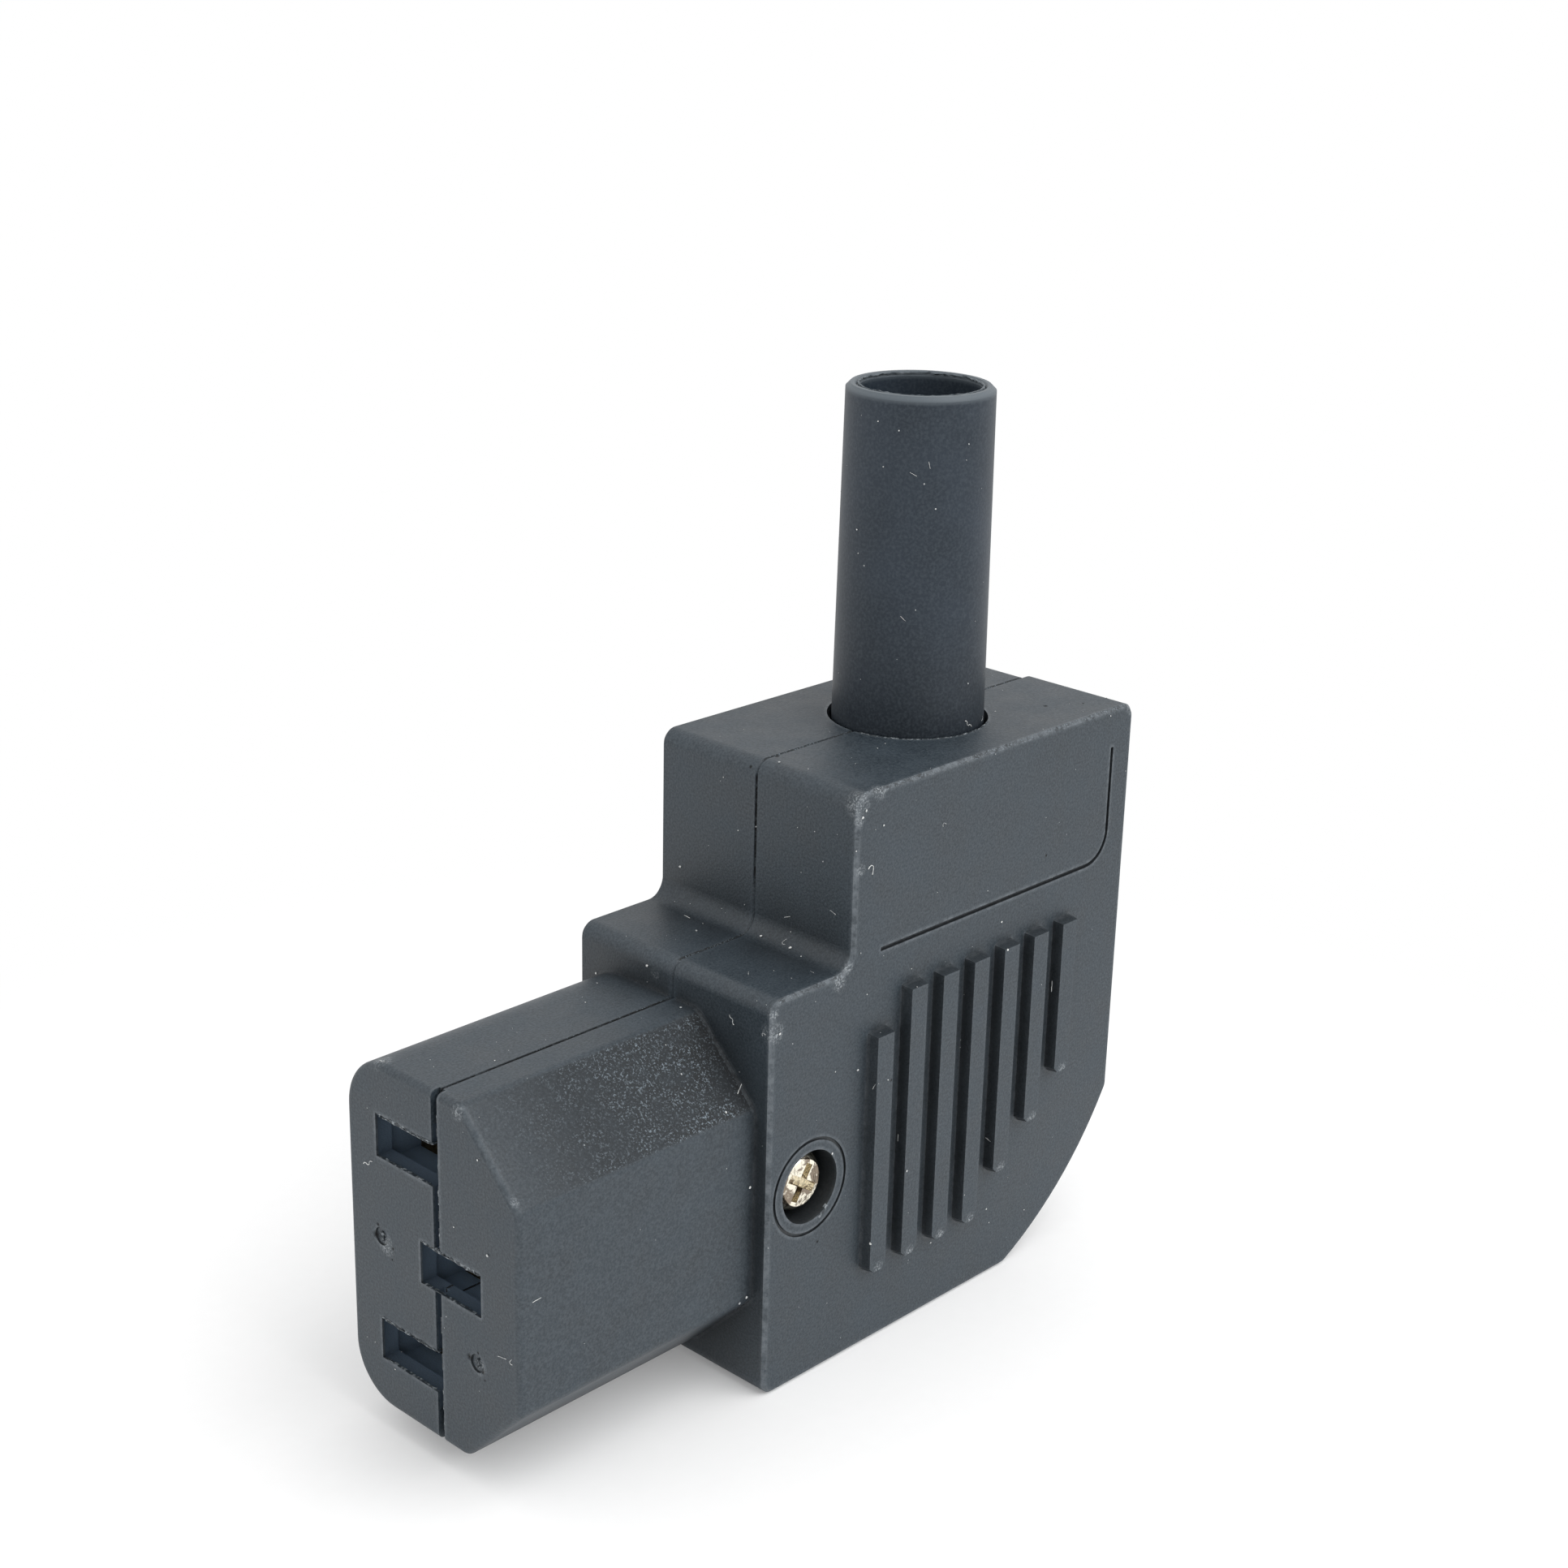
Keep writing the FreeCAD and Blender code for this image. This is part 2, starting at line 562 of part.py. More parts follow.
    sketch = new_sketch(body, "post_holes", "XZ", POST_TOP)
    for x in CLAMP_X:
        circle(sketch, (x, CLAMP_Z), size("clamp_screw_radius") + size("screw_clearance"))
    pocket(body, sketch, size("clamp_screw_length") - size("clamp_sheet") + size("fit_gap"), 1, "XZ")

    cut_sleeve_hole(body)
    return body


def add_collar_wall(body, seam, floor, toward):
    """The cross wall that traps the sleeve's collar below the body's top wall."""
    reach = COLLAR_RADIUS + size("shell_wall")
    sketch = new_sketch(body, "collar_wall", "XZ", seam)
    rectangle(sketch, (SLEEVE_X - reach, CROSS_WALL_LOW), (SLEEVE_X + reach, CROSS_WALL_TOP))
    depth = floor - seam if toward > 0 else seam - floor
    pad(body, sketch, depth + size("shell_wall") / 2, toward, "XZ")


def cut_sleeve_hole(body):
    """The round hole through the top wall and the cross wall."""
    sketch = new_sketch(body, "sleeve_hole", "XY", TOP)
    circle(sketch, (SLEEVE_X, SEAM), HOLE_RADIUS)
    pocket(body, sketch, TOP - CROSS_WALL_LOW + size("fit_gap"), -1, "XY")


def cut_gate_mark(body, across, up):
    """The shallow round mark that a moulding gate leaves on the face."""
    sketch = new_sketch(body, "gate_mark", "YZ")
    circle(sketch, (across, up), size("gate_mark_radius"))
    pocket(body, sketch, size("gate_mark_depth"), 1, "YZ")


def chamfered_half(inset):
    """The four bends of the nose's chamfered half in Y and Z, moved inward by the inset."""
    bevel = size("nose_chamfer")
    slide = inset * (math.sqrt(2) - 1)
    side, top = NOSE_SIDE - inset, NOSE_TOP - inset
    short, tall = NOSE_SIDE - bevel - slide, NOSE_TOP - bevel - slide
    return [(-short, top), (-side, tall), (-side, -tall), (-short, -top)]


def rib_outline(sketch, left, foot, top):
    """One grip rib, square at its top and bevelled at its foot."""
    right, bevel = left + size("rib_width"), size("rib_foot_bevel")
    outline(sketch, [
        (left + bevel, foot), (right - bevel, foot), (right, foot + bevel), (right, top), (left, top),
        (left, foot + bevel),
    ])


def hollow_nose(body):
    """Core out the front half of the nose, and leave a box of walls around the earth contact."""
    wall = size("shell_wall")
    sketch = new_sketch(body, "nose_core", "YZ", wall)
    outline(sketch, [(SEAM, wall - NOSE_TOP), (SEAM, NOSE_TOP - wall)] + chamfered_half(wall))
    pocket(body, sketch, SHOULDER - wall, 1, "YZ")
    half = CHAMBER_HALF + wall
    sketch = new_sketch(body, "earth_box", "XZ", SEAM)
    rectangle(sketch, (CHAMBER_START, -half), (EARTH_BOX_END + wall, half))
    pad(body, sketch, SEAM + NOSE_SIDE - wall / 2, -1, "XZ")


# Front shell: the cover with the grip ribs, the frame line and the screw's well
def make_front_shell():
    body = new_body("front_shell")
    sketch = new_sketch(body, "side", "XZ", SEAM)
    side_outline(sketch, BACK, length_of(0))
    pad(body, sketch, size("shell_depth"), -1, "XZ")
    round_profile(body, FRONT_FACE, BACK)

    bends = chamfered_half(length_of(0))
    sketch = new_sketch(body, "nose", "YZ")
    outline(sketch, [(SEAM, -NOSE_TOP), (SEAM, NOSE_TOP)] + bends)
    pad(body, sketch, CHAMBER_END, 1, "YZ")
    dress(body, "Fillet", "nose_lines", size("chamfer_round"), lambda edge: any(
        lies_at(box_of(edge)[1], y) and lies_at(box_of(edge)[2], z) for y, z in bends))
    dress(body, "Fillet", "tip", size("nose_tip_round"), lambda edge: (
        lies_at(box_of(edge)[0], length_of(0)) and box_of(edge)[1][0] < SEAM.value - NEAR))
    dress(body, "Chamfer", "seam", size("seam_bevel"), lambda edge: seam_edges(edge, BACK))

    sketch = new_sketch(body, "cavity", "XZ", SEAM)
    side_outline(sketch, BACK, size("shell_wall"))
    pocket(body, sketch, size("shell_depth") - size("shell_wall"), -1, "XZ")

    root = size("shell_wall") / 2
    sketch = new_sketch(body, "screw_boss", "XZ", SEAM)
    circle(sketch, (SCREW_X, SCREW_Z), size("screw_boss_radius"))
    pad(body, sketch, SEAM - FRONT_FLOOR + root, -1, "XZ")
    add_collar_wall(body, SEAM, FRONT_FLOOR, -1)
    hollow_nose(body)

    sketch = new_sketch(body, "lips", "XZ", SEAM + size("lip_height"))
    wall = size("shell_wall") + size("fit_gap")
    thick = size("lip_thickness")
    low = BOTTOM + wall
    right = BACK - size("back_step") - wall
    rectangle(sketch, (LIVE_TERMINAL_X, low), (BACK - size("corner_run") - thick, low + thick))
    lip_top = CLAMP_Z - size("clamp_post_radius") - thick
    rectangle(sketch, (right - thick, BOTTOM + size("corner_rise") + thick), (right, lip_top))
    pad(body, sketch, SEAM + size("lip_height") - FRONT_FLOOR + root, -1, "XZ")

    line = size("frame_line")
    left, right = SHOULDER + size("frame_left"), BACK - size("frame_right")
    low, high = SHELF + size("frame_low"), TOP - size("frame_high")
    sketch = new_sketch(body, "frame_line", "XZ", FRONT_FACE)
    outline(sketch, [(left, low), (right, low), (right, high), (right - line, high),
                     (right - line, low + line), (left, low + line)])
    pocket(body, sketch, size("frame_depth"), 1, "XZ")
    dress(body, "Fillet", "frame_outside", size("frame_corner") + line,
          lambda edge: is_corner(edge, right, low))
    dress(body, "Fillet", "frame_inside", size("frame_corner"),
          lambda edge: is_corner(edge, right - line, low + line))

    for number in range(RIB_COUNT):
        left = size("rib_first") + size("rib_pitch") * number
        top = size("rib_first_top") if number == 0 else size("rib_top")
        stepped = max(0, number - (RIB_COUNT - STEPPED_RIBS) + 1)
        foot = size("rib_step") * stepped - size("rib_bottom")
        sketch = new_sketch(body, f"rib_{number}", "XZ", FRONT_FACE)
        rib_outline(sketch, left, foot, top)
        pad(body, sketch, size("rib_height"), -1, "XZ", draft=size("rib_draft"))

    sketch = new_sketch(body, "well_ring", "XZ", FRONT_FACE)
    circle(sketch, (SCREW_X, SCREW_Z), WELL_RADIUS + size("well_land"))
    circle(sketch, (SCREW_X, SCREW_Z), WELL_RADIUS + size("well_land") + size("well_ring_width"))
    pocket(body, sketch, size("well_ring_depth"), 1, "XZ")
    sketch = new_sketch(body, "well", "XZ", FRONT_FACE)
    circle(sketch, (SCREW_X, SCREW_Z), WELL_RADIUS)
    pocket(body, sketch, size("head_recess"), 1, "XZ")
    sketch = new_sketch(body, "screw_hole", "XZ", FRONT_FACE)
    circle(sketch, (SCREW_X, SCREW_Z), size("screw_radius") + size("screw_clearance"))
    pocket(body, sketch, size("shell_depth"), 1, "XZ")

    floor = EARTH_ROW - size("slot_length") / 2 - size("contact_gap")
    sketch = new_sketch(body, "earth_chamber", "XZ", SEAM)
    rectangle(sketch, (CHAMBER_START, -CHAMBER_HALF), (EARTH_BOX_END, CHAMBER_HALF))
    pocket(body, sketch, SEAM - floor, -1, "XZ")
    half = size("slot_height") / 2
    sketch = new_sketch(body, "slots", "YZ")
    rectangle(sketch, (EARTH_ROW - size("slot_length") / 2, -half), (SEAM, half))
    pocket(body, sketch, CHAMBER_START + size("fit_gap"), 1, "YZ")
    sketch = new_sketch(body, "tip_gap", "YZ")
    rectangle(sketch, (SEAM - size("tip_gap_front"), -NOSE_TOP), (SEAM, NOSE_TOP))
    pocket(body, sketch, size("tip_gap_depth"), 1, "YZ")
    cut_gate_mark(body, -size("front_mark_across"), -size("front_mark_down"))

    cut_sleeve_hole(body)
    return body


# Cable sleeve: a tapered rubber tube with a collar that the shells trap
def make_cable_sleeve():
    body = new_body("cable_sleeve")
    foot = COLLAR_LOW - size("sleeve_tail")
    rim = TOP + size("sleeve_length")
    bore, bevel = size("sleeve_bore_radius"), size("sleeve_rim_bevel")
    sketch = new_sketch(body, "profile", "XZ")
    outline(sketch, [
        (bore, foot), (SLEEVE_RADIUS, foot), (SLEEVE_RADIUS, COLLAR_LOW), (COLLAR_RADIUS, COLLAR_LOW),
        (COLLAR_RADIUS, COLLAR_TOP), (SLEEVE_RADIUS, COLLAR_TOP), (SLEEVE_RADIUS, TOP),
        (SLEEVE_RIM_RADIUS, rim - bevel), (SLEEVE_RIM_RADIUS - bevel, rim), (bore + bevel, rim),
        (bore, rim - bevel),
    ])
    revolve(body, sketch)
    bind(body, "Placement.Base.x", ROW_SHIFT_X + SLEEVE_X)
    bind(body, "Placement.Base.y", ROW_SHIFT_Y + SEAM)
    return body


def blade_outline(sketch, centre, side):
    """One bowed blade in X and Z: flared at the mouth, pinched, then easing out to its root."""
    stations = [
        (BLADE_MOUTH, size("blade_flare") / 2),
        (BLADE_MOUTH + size("blade_pinch"), size("blade_gap") / 2),
        (BLADE_ROOT, size("blade_root") / 2),
    ]
    inner = [(x, centre + gap * side) for x, gap in stations]
    outer = [(x, centre + (gap + size("contact_sheet")) * side) for x, gap in reversed(stations)]
    outline(sketch, inner + outer)


def live_plate_corners(x, z):
    """The flat plate of a live contact, from its blades to its terminal square."""
    half_tail, half_square = size("tail_width") / 2, size("terminal_square") / 2
    half_blade = size("blade_root") / 2 + size("contact_sheet")
    start, tail_start = BLADE_MOUTH + size("blade_pinch"), BLADE_ROOT + half_tail / 2
    left, right = x - half_square, x + half_square
    upper = [(right, z + half_square), (left, z + half_square), (left, z + half_tail),
             (tail_start, z + half_tail), (BLADE_ROOT, z + half_blade), (start, z + half_blade)]
    lower = [(start, z - half_blade), (BLADE_ROOT, z - half_blade), (tail_start, z - half_tail),
             (left, z - half_tail), (left, z - half_square), (right, z - half_square)]
    return lower + upper


def earth_plate_corners(x, z):
    """The flat plate of the earth contact, whose tail drops around the casing screw's boss."""
    half_tail, half_square = size("earth_tail_width") / 2, size("terminal_square") / 2
    half_blade = size("blade_root") / 2 + size("contact_sheet")
    start, past_boss = BLADE_MOUTH + size("blade_pinch"), SCREW_X + size("screw_boss_radius")
    left, right = x - half_square, x + half_square
    return [
        (start, z - half_blade), (EARTH_JOG, z - half_blade), (EARTH_JOG, EARTH_DROP - half_tail),
        (past_boss + half_tail, EARTH_DROP - half_tail), (left, z - half_square), (right, z - half_square),
        (right, z + half_square), (left, z + half_square), (left, z - half_tail / 2),
        (past_boss, EARTH_DROP + half_tail), (EARTH_TURN, EARTH_DROP + half_tail),
        (EARTH_TURN, z + half_blade), (start, z + half_blade),
    ]


def make_contact(name):
    """A folded brass contact: two blades on a back plate, and a tail with a terminal hole."""
    body = new_body(f"{name}_contact")
    x, z, plate = TERMINALS[name]
    thick = size("contact_sheet")
    sketch = new_sketch(body, "plate", "XZ", plate)
    outline(sketch, earth_plate_corners(x, z) if name == "earth" else live_plate_corners(x, z))
    pad(body, sketch, thick, -1, "XZ")
    for label, side in (("upper_blade", 1), ("lower_blade", -1)):
        sketch = new_sketch(body, label, "XZ", plate - thick / 2)
        blade_outline(sketch, z, side)
        pad(body, sketch, size("slot_length") - size("blade_margin"), -1, "XZ")
    sketch = new_sketch(body, "hole", "XZ", plate - thick)
    circle(sketch, (x, z), size("terminal_screw_radius") + size("screw_clearance"))
    pocket(body, sketch, thick, 1, "XZ")
    return body


def screw_profile(body, head_radius, head_height, thread_radius, shank, domed):
    """Half section of a screw, its seat at zero and its head up the sketch's Y axis."""
    sketch = new_sketch(body, "profile", "XY")
    shaft = [(0, -shank), (thread_radius, -shank), (thread_radius, 0), (head_radius, 0)]
    top = head_radius * HEAD_TOP
    if domed:
        crown = [(head_radius, head_height * HEAD_SIDE), (top, head_height), (0, head_height)]
        outline(sketch, shaft + crown, {4: top})
    else:
        outline(sketch, shaft + [(head_radius, head_height), (0, head_height)])
    revolve(body, sketch)


def cut_cross_recess(body, head_radius, head_height):
    """A cross recess in the head, two crossed pockets."""
    reach = head_radius * CROSS_REACH
    arm = size("recess_arm") / 2
    for label, first, second in (("recess_a", reach, arm), ("recess_b", arm, reach)):
        sketch = new_sketch(body, label, "XZ", head_height)
        rectangle(sketch, (-first, -second), (first, second))
        pocket(body, sketch, size("recess_depth"), -1, "XZ")


def place(body, x, y, z, turn=0):
    """Move a piece made at zero to its place; its own Y axis then points toward the front shell."""
    bind(body, "Placement.Base.x", ROW_SHIFT_X + x)
    bind(body, "Placement.Base.y", ROW_SHIFT_Y + y)
    bind(body, "Placement.Base.z", ROW_SHIFT_Z + z)
    flip = FreeCAD.Rotation(FreeCAD.Vector(0, 0, 1), 180)
    spin = FreeCAD.Rotation(FreeCAD.Vector(0, 1, 0), turn)
    body.Placement = FreeCAD.Placement(body.Placement.Base, spin * flip)


def make_screw(name, head_radius, head_height, thread_radius, shank, seat, turn, domed=False):
    body = new_body(name)
    screw_profile(body, head_radius, head_height, thread_radius, shank, domed)
    cut_cross_recess(body, head_radius, head_height)
    place(body, seat[0], seat[1], seat[2], turn)
    return body


# Terminals: a screw, a clamp washer and a square nut at each contact's tail
def make_terminal(name, turn):
    x, z, plate = TERMINALS[name]
    clamp_face = plate - size("contact_sheet")
    half = size("wire_clamp_square") / 2
    clamp = new_body(f"{name}_wire_clamp")
    sketch = new_sketch(clamp, "outline", "XZ", clamp_face)
    rectangle(sketch, (x - half, z - half), (x + half, z + half))
    pad(clamp, sketch, size("wire_clamp_sheet"), -1, "XZ")
    sketch = new_sketch(clamp, "hole", "XZ", clamp_face)
    circle(sketch, (x, z), size("terminal_screw_radius") + size("screw_clearance"))
    pocket(clamp, sketch, size("wire_clamp_sheet"), -1, "XZ")

    half = size("terminal_nut") / 2
    nut = new_body(f"{name}_terminal_nut")
    sketch = new_sketch(nut, "outline", "XZ", plate)
    rectangle(sketch, (x - half, z - half), (x + half, z + half))
    pad(nut, sketch, size("terminal_nut_height"), 1, "XZ")
    sketch = new_sketch(nut, "hole", "XZ", plate)
    circle(sketch, (x, z), size("terminal_screw_radius") + size("fit_gap") / 2)
    pocket(nut, sketch, size("terminal_nut_height"), 1, "XZ")

    seat = clamp_face - size("wire_clamp_sheet")
    shank = size("wire_clamp_sheet") + size("contact_sheet") + size("terminal_nut_height")
    make_screw(f"{name}_terminal_screw", size("terminal_head_radius"), size("terminal_head_height"),
               size("terminal_screw_radius"), shank, (x, seat, z), turn)


# Cord clamp: an arched bar on two posts
def make_cord_clamp():
    body = new_body("cord_clamp")
    thick = size("clamp_sheet")
    low, outer_y = CLAMP_Z - size("clamp_width") / 2, POST_TOP - thick
    reach = CLAMP_SPREAD + size("clamp_post_radius")
    sketch = new_sketch(body, "outline", "XY", low)
    rectangle(sketch, (SLEEVE_X - reach, outer_y), (SLEEVE_X + reach, POST_TOP))
    pad(body, sketch, size("clamp_width"), 1, "XY")
    sketch = new_sketch(body, "arch", "XY", low)
    circle(sketch, (SLEEVE_X, SEAM), CLAMP_ARCH + thick)
    pad(body, sketch, size("clamp_width"), 1, "XY")
    sketch = new_sketch(body, "below", "XY", low)
    rectangle(sketch, (SLEEVE_X - reach, POST_TOP), (SLEEVE_X + reach, SEAM + reach))
    pocket(body, sketch, size("clamp_width"), 1, "XY")
    sketch = new_sketch(body, "cord_way", "XY", low)
    circle(sketch, (SLEEVE_X, SEAM), CLAMP_ARCH)
    pocket(body, sketch, size("clamp_width"), 1, "XY")
    sketch = new_sketch(body, "holes", "XZ", POST_TOP)
    for x in CLAMP_X:
        circle(sketch, (x, CLAMP_Z), size("clamp_screw_radius") + size("screw_clearance"))
    pocket(body, sketch, thick, -1, "XZ")
    for side, x, turn in zip(("inner", "outer"), CLAMP_X, CLAMP_SCREW_TURNS):
        make_screw(f"cord_clamp_screw_{side}", size("clamp_head_radius"), size("clamp_head_height"),
                   size("clamp_screw_radius"), size("clamp_screw_length"), (x, outer_y, CLAMP_Z), turn)


# Casing screw and its captive nut
def make_casing_screw():
    seat = FRONT_FACE + size("head_recess")
    end = REAR_FACE - size("nut_sink") - size("fit_gap")
    make_screw("casing_screw", size("screw_head_radius"), size("screw_head_height"), size("screw_radius"),
               end - seat, (SCREW_X, seat, SCREW_Z), CASING_SCREW_TURN, domed=True)
    nut = new_body("casing_nut")
    low = REAR_FACE - size("nut_sink") - size("nut_height")
    sketch = new_sketch(nut, "outline", "XZ", low)
    hexagon(sketch, (SCREW_X, SCREW_Z), size("nut_across"))
    pad(nut, sketch, size("nut_height"), 1, "XZ")
    sketch = new_sketch(nut, "hole", "XZ", low)
    circle(sketch, (SCREW_X, SCREW_Z), size("screw_radius") + size("fit_gap") / 2)
    pocket(nut, sketch, size("nut_height"), 1, "XZ")


make_rear_shell()
make_front_shell()
make_cable_sleeve()
for terminal, angle in TERMINAL_TURNS.items():
    make_contact(terminal)
    make_terminal(terminal, angle)
make_cord_clamp()
make_casing_screw()
doc.recompute()

for item in doc.Objects:
    if "Invalid" in item.State or "Error" in item.State:
        raise RuntimeError(f"{item.Name} is {item.State}")
for body in bodies:
    if body.Shape.isNull() or not body.Shape.isValid() or not body.Shape.Solids:
        raise RuntimeError(f"{body.Label} has no valid solid")
for body in bodies:
    body.Shape.exportStep(os.path.join("parts", f"{body.Label}.step"))
    print(body.Label, round(body.Shape.Volume, 2), "mm3", len(body.Shape.Solids), "solid")
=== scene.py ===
# %% [markdown]
# # A right-angle power connector
# The object is a rewireable connector for a power lead. Two moulded shells of
# charcoal plastic meet along one seam, a soft sleeve stands on top for the
# cord, and one bright screw clamps the shells together.
#
# The solids arrive finished, so this lesson gives them their surfaces, adds
# the small things that only show close up, and lights them. Loading the solids
# first gives every later cell a fixed place to build on.

# %% Load the solid model
import math
import random

import bmesh
import bpy
from mathutils import Euler, Matrix, Vector


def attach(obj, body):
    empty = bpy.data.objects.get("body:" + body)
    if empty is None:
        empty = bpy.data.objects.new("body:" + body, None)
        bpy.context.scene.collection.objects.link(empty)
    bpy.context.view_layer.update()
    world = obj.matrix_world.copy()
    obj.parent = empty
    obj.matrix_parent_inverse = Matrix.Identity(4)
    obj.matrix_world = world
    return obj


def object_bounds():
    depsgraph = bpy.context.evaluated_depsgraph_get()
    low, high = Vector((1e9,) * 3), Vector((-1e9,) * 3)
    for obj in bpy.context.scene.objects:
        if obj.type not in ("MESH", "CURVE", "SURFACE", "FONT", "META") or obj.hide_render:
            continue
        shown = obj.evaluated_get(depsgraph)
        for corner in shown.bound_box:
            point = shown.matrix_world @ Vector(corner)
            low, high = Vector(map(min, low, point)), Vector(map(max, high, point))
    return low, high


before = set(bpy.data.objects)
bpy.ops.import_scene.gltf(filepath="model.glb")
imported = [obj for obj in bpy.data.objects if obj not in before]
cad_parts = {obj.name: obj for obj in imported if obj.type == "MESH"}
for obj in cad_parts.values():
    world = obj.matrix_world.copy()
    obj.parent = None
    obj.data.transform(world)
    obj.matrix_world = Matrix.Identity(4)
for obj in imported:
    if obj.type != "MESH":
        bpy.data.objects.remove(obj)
solid_box = [list(corner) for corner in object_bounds()]
bpy.ops.object.select_all(action="DESELECT")
print("solids:", len(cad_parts), "box:", solid_box)

# %% [markdown]
# ## One unit and one way to write a colour
# Blender counts in metres and the connector is thought of in millimetres, so
# `MM` turns one into the other. Colours are easier to judge as the hex values
# of a paint chart, but shaders expect linear light. One function does that
# conversion for the whole file.

# %% Millimetres and colours
MM = 0.001


def linear(hex_value, alpha=1.0):
    """A paint-chart colour such as '#33383c' as linear light."""
    parts = [int(hex_value[place:place + 2], 16) / 255 for place in (1, 3, 5)]
    return tuple(
        part / 12.92 if part <= 0.04045 else ((part + 0.055) / 1.055) ** 2.4
        for part in parts
    ) + (alpha,)


print("charcoal in linear light:", [round(part, 4) for part in linear("#33383c")])

# %% [markdown]
# ## The camera
# The camera stands where the photograph was taken: close, a little above the
# connector, looking at its slotted nose and its ribbed side. A close camera
# makes strong perspective, so both its place and its lens matter. It turns in
# three steps, heading, tilt and roll, which is how a tripod head is set.

# %% Set up the camera
CAMERA_PLACE = Vector((-109.97, -105.14, 92.28)) * MM
HEADING, TILT, ROLL = math.radians(-46.63), math.radians(19.729), math.radians(1.429)
FOCAL_LENGTH = 58.56

bpy.ops.object.camera_add(location=CAMERA_PLACE)
camera = bpy.context.object
camera.name = "camera"
turn = (Matrix.Rotation(HEADING, 4, "Z")
        @ Matrix.Rotation(math.pi / 2 - TILT, 4, "X")
        @ Matrix.Rotation(ROLL, 4, "Z"))
camera.matrix_world = Matrix.Translation(CAMERA_PLACE) @ turn
camera.data.sensor_fit = "HORIZONTAL"
camera.data.sensor_width = 36
camera.data.lens = FOCAL_LENGTH
camera.data.clip_start = 0.005
camera.data.clip_end = 20
bpy.context.scene.camera = camera
bpy.context.scene.view_settings.view_transform = "Standard"
print("camera", round(CAMERA_PLACE.length / MM), "mm from the origin, lens", FOCAL_LENGTH)

# %% [markdown]
# ## A helper for shader nodes
# Every finish below is a small graph of nodes. One helper adds a node, sets
# its fields, and fills or links its inputs, so that each finish reads from
# top to bottom like a recipe.

# %% Add one node
def add_node(tree, kind, inputs=None, **fields):
    """A shader node with its fields set and its inputs filled or linked."""
    node = tree.nodes.new("ShaderNode" + kind)
    for field, value in fields.items():
        setattr(node, field, value)
    for key, value in (inputs or {}).items():
        socket = node.inputs[key]
        if isinstance(value, bpy.types.NodeSocket):
            tree.links.new(value, socket)
        else:
            socket.default_value = value
    return node


def new_finish(name):
    """An empty material with its node tree, its surface shader and Object coordinates."""
    material = bpy.data.materials.new(name)
    material.use_nodes = True
    tree = material.node_tree
    tree.nodes.clear()
    output = add_node(tree, "OutputMaterial")
    surface = add_node(tree, "BsdfPrincipled")
    tree.links.new(surface.outputs["BSDF"], output.inputs["Surface"])
    place = add_node(tree, "TexCoord").outputs["Object"]
    return material, tree, surface, place


print("node helper ready")

# %% [markdown]
# ## Floor, backdrop and light
# The connector stands on a white sheet in a bright, even room: black plastic
# shows little of its own colour, so most of what the eye sees on it is the
# white room reflected at a low angle. That is why a hollow beside the nose or
# a rib goes nearly black. An even white world gives exactly this, and one wide
# soft lamp high on the right lifts the ribbed side and the paper beside it.

# %% A sheet of white paper
FLOOR_SIDE = 3.0  # in metres
FLOOR_DROP = 0.02 * MM  # keeps the sheet just clear of the connector's foot
PAPER_FIBRE = MM / 0.9

bpy.ops.mesh.primitive_grid_add(
    x_subdivisions=6, y_subdivisions=6, size=FLOOR_SIDE, location=(0, 0, -FLOOR_DROP))
floor = bpy.context.object
floor.name = "floor"
floor_paper, tree, surface, place = new_finish("white_paper_sheet")
fibres = add_node(tree, "TexNoise", {"Vector": place, "Scale": 1 / PAPER_FIBRE, "Detail": 3.0})
tint = add_node(tree, "MapRange", {
    "Value": fibres.outputs["Fac"], "To Min": 0.955, "To Max": 0.985})
paper = add_node(tree, "CombineColor", {
    "Red": tint.outputs[0], "Green": tint.outputs[0], "Blue": tint.outputs[0]})
tree.links.new(paper.outputs[0], surface.inputs["Base Color"])
surface.inputs["Roughness"].default_value = 0.9
surface.inputs["Specular IOR Level"].default_value = 0.1
print("paper:", floor_paper.name)


# %% The rays that look
def looking_rays(tree):
    """One for the camera's rays and those seen in mirrors and through glass."""
    ray = add_node(tree, "LightPath")
    direct = add_node(tree, "Math", {
        0: ray.outputs["Is Camera Ray"], 1: ray.outputs["Is Glossy Ray"]}, operation="MAXIMUM")
    seen = add_node(tree, "Math", {
        0: direct.outputs[0], 1: ray.outputs["Is Transmission Ray"]}, operation="MAXIMUM")
    return seen.outputs[0]


# %% White far from the connector
# Far away the paper turns into the plain white of the room for the rays that
# look at it. Near the connector only a little of that white lifts the paper,
# and the shadow stays.
SHADOW_ENDS, ROOM_STARTS = 0.028, 0.085  # in metres from the origin
NEAR_SHARE = 0.16

seen = looking_rays(tree)
away = add_node(tree, "VectorMath", {0: place}, operation="LENGTH")
far = add_node(tree, "MapRange", {
    "Value": away.outputs["Value"], "From Min": SHADOW_ENDS, "From Max": ROOM_STARTS,
    "To Min": NEAR_SHARE}, interpolation_type="SMOOTHSTEP")
share = add_node(tree, "Math", {0: seen, 1: far.outputs[0]}, operation="MULTIPLY")
white = add_node(tree, "Emission", {"Color": (1, 1, 1, 1), "Strength": 1.0})
both = add_node(tree, "MixShader", {
    0: share.outputs[0], 1: surface.outputs[0], 2: white.outputs[0]})
output = next(node for node in tree.nodes if node.type == "OUTPUT_MATERIAL")
tree.links.new(both.outputs[0], output.inputs["Surface"])
floor.data.materials.append(floor_paper)
print("floor:", [round(side, 2) for side in floor.dimensions])

# %% White world
ROOM_LIGHT = 0.95  # what the room lights with; the rays that look see 1

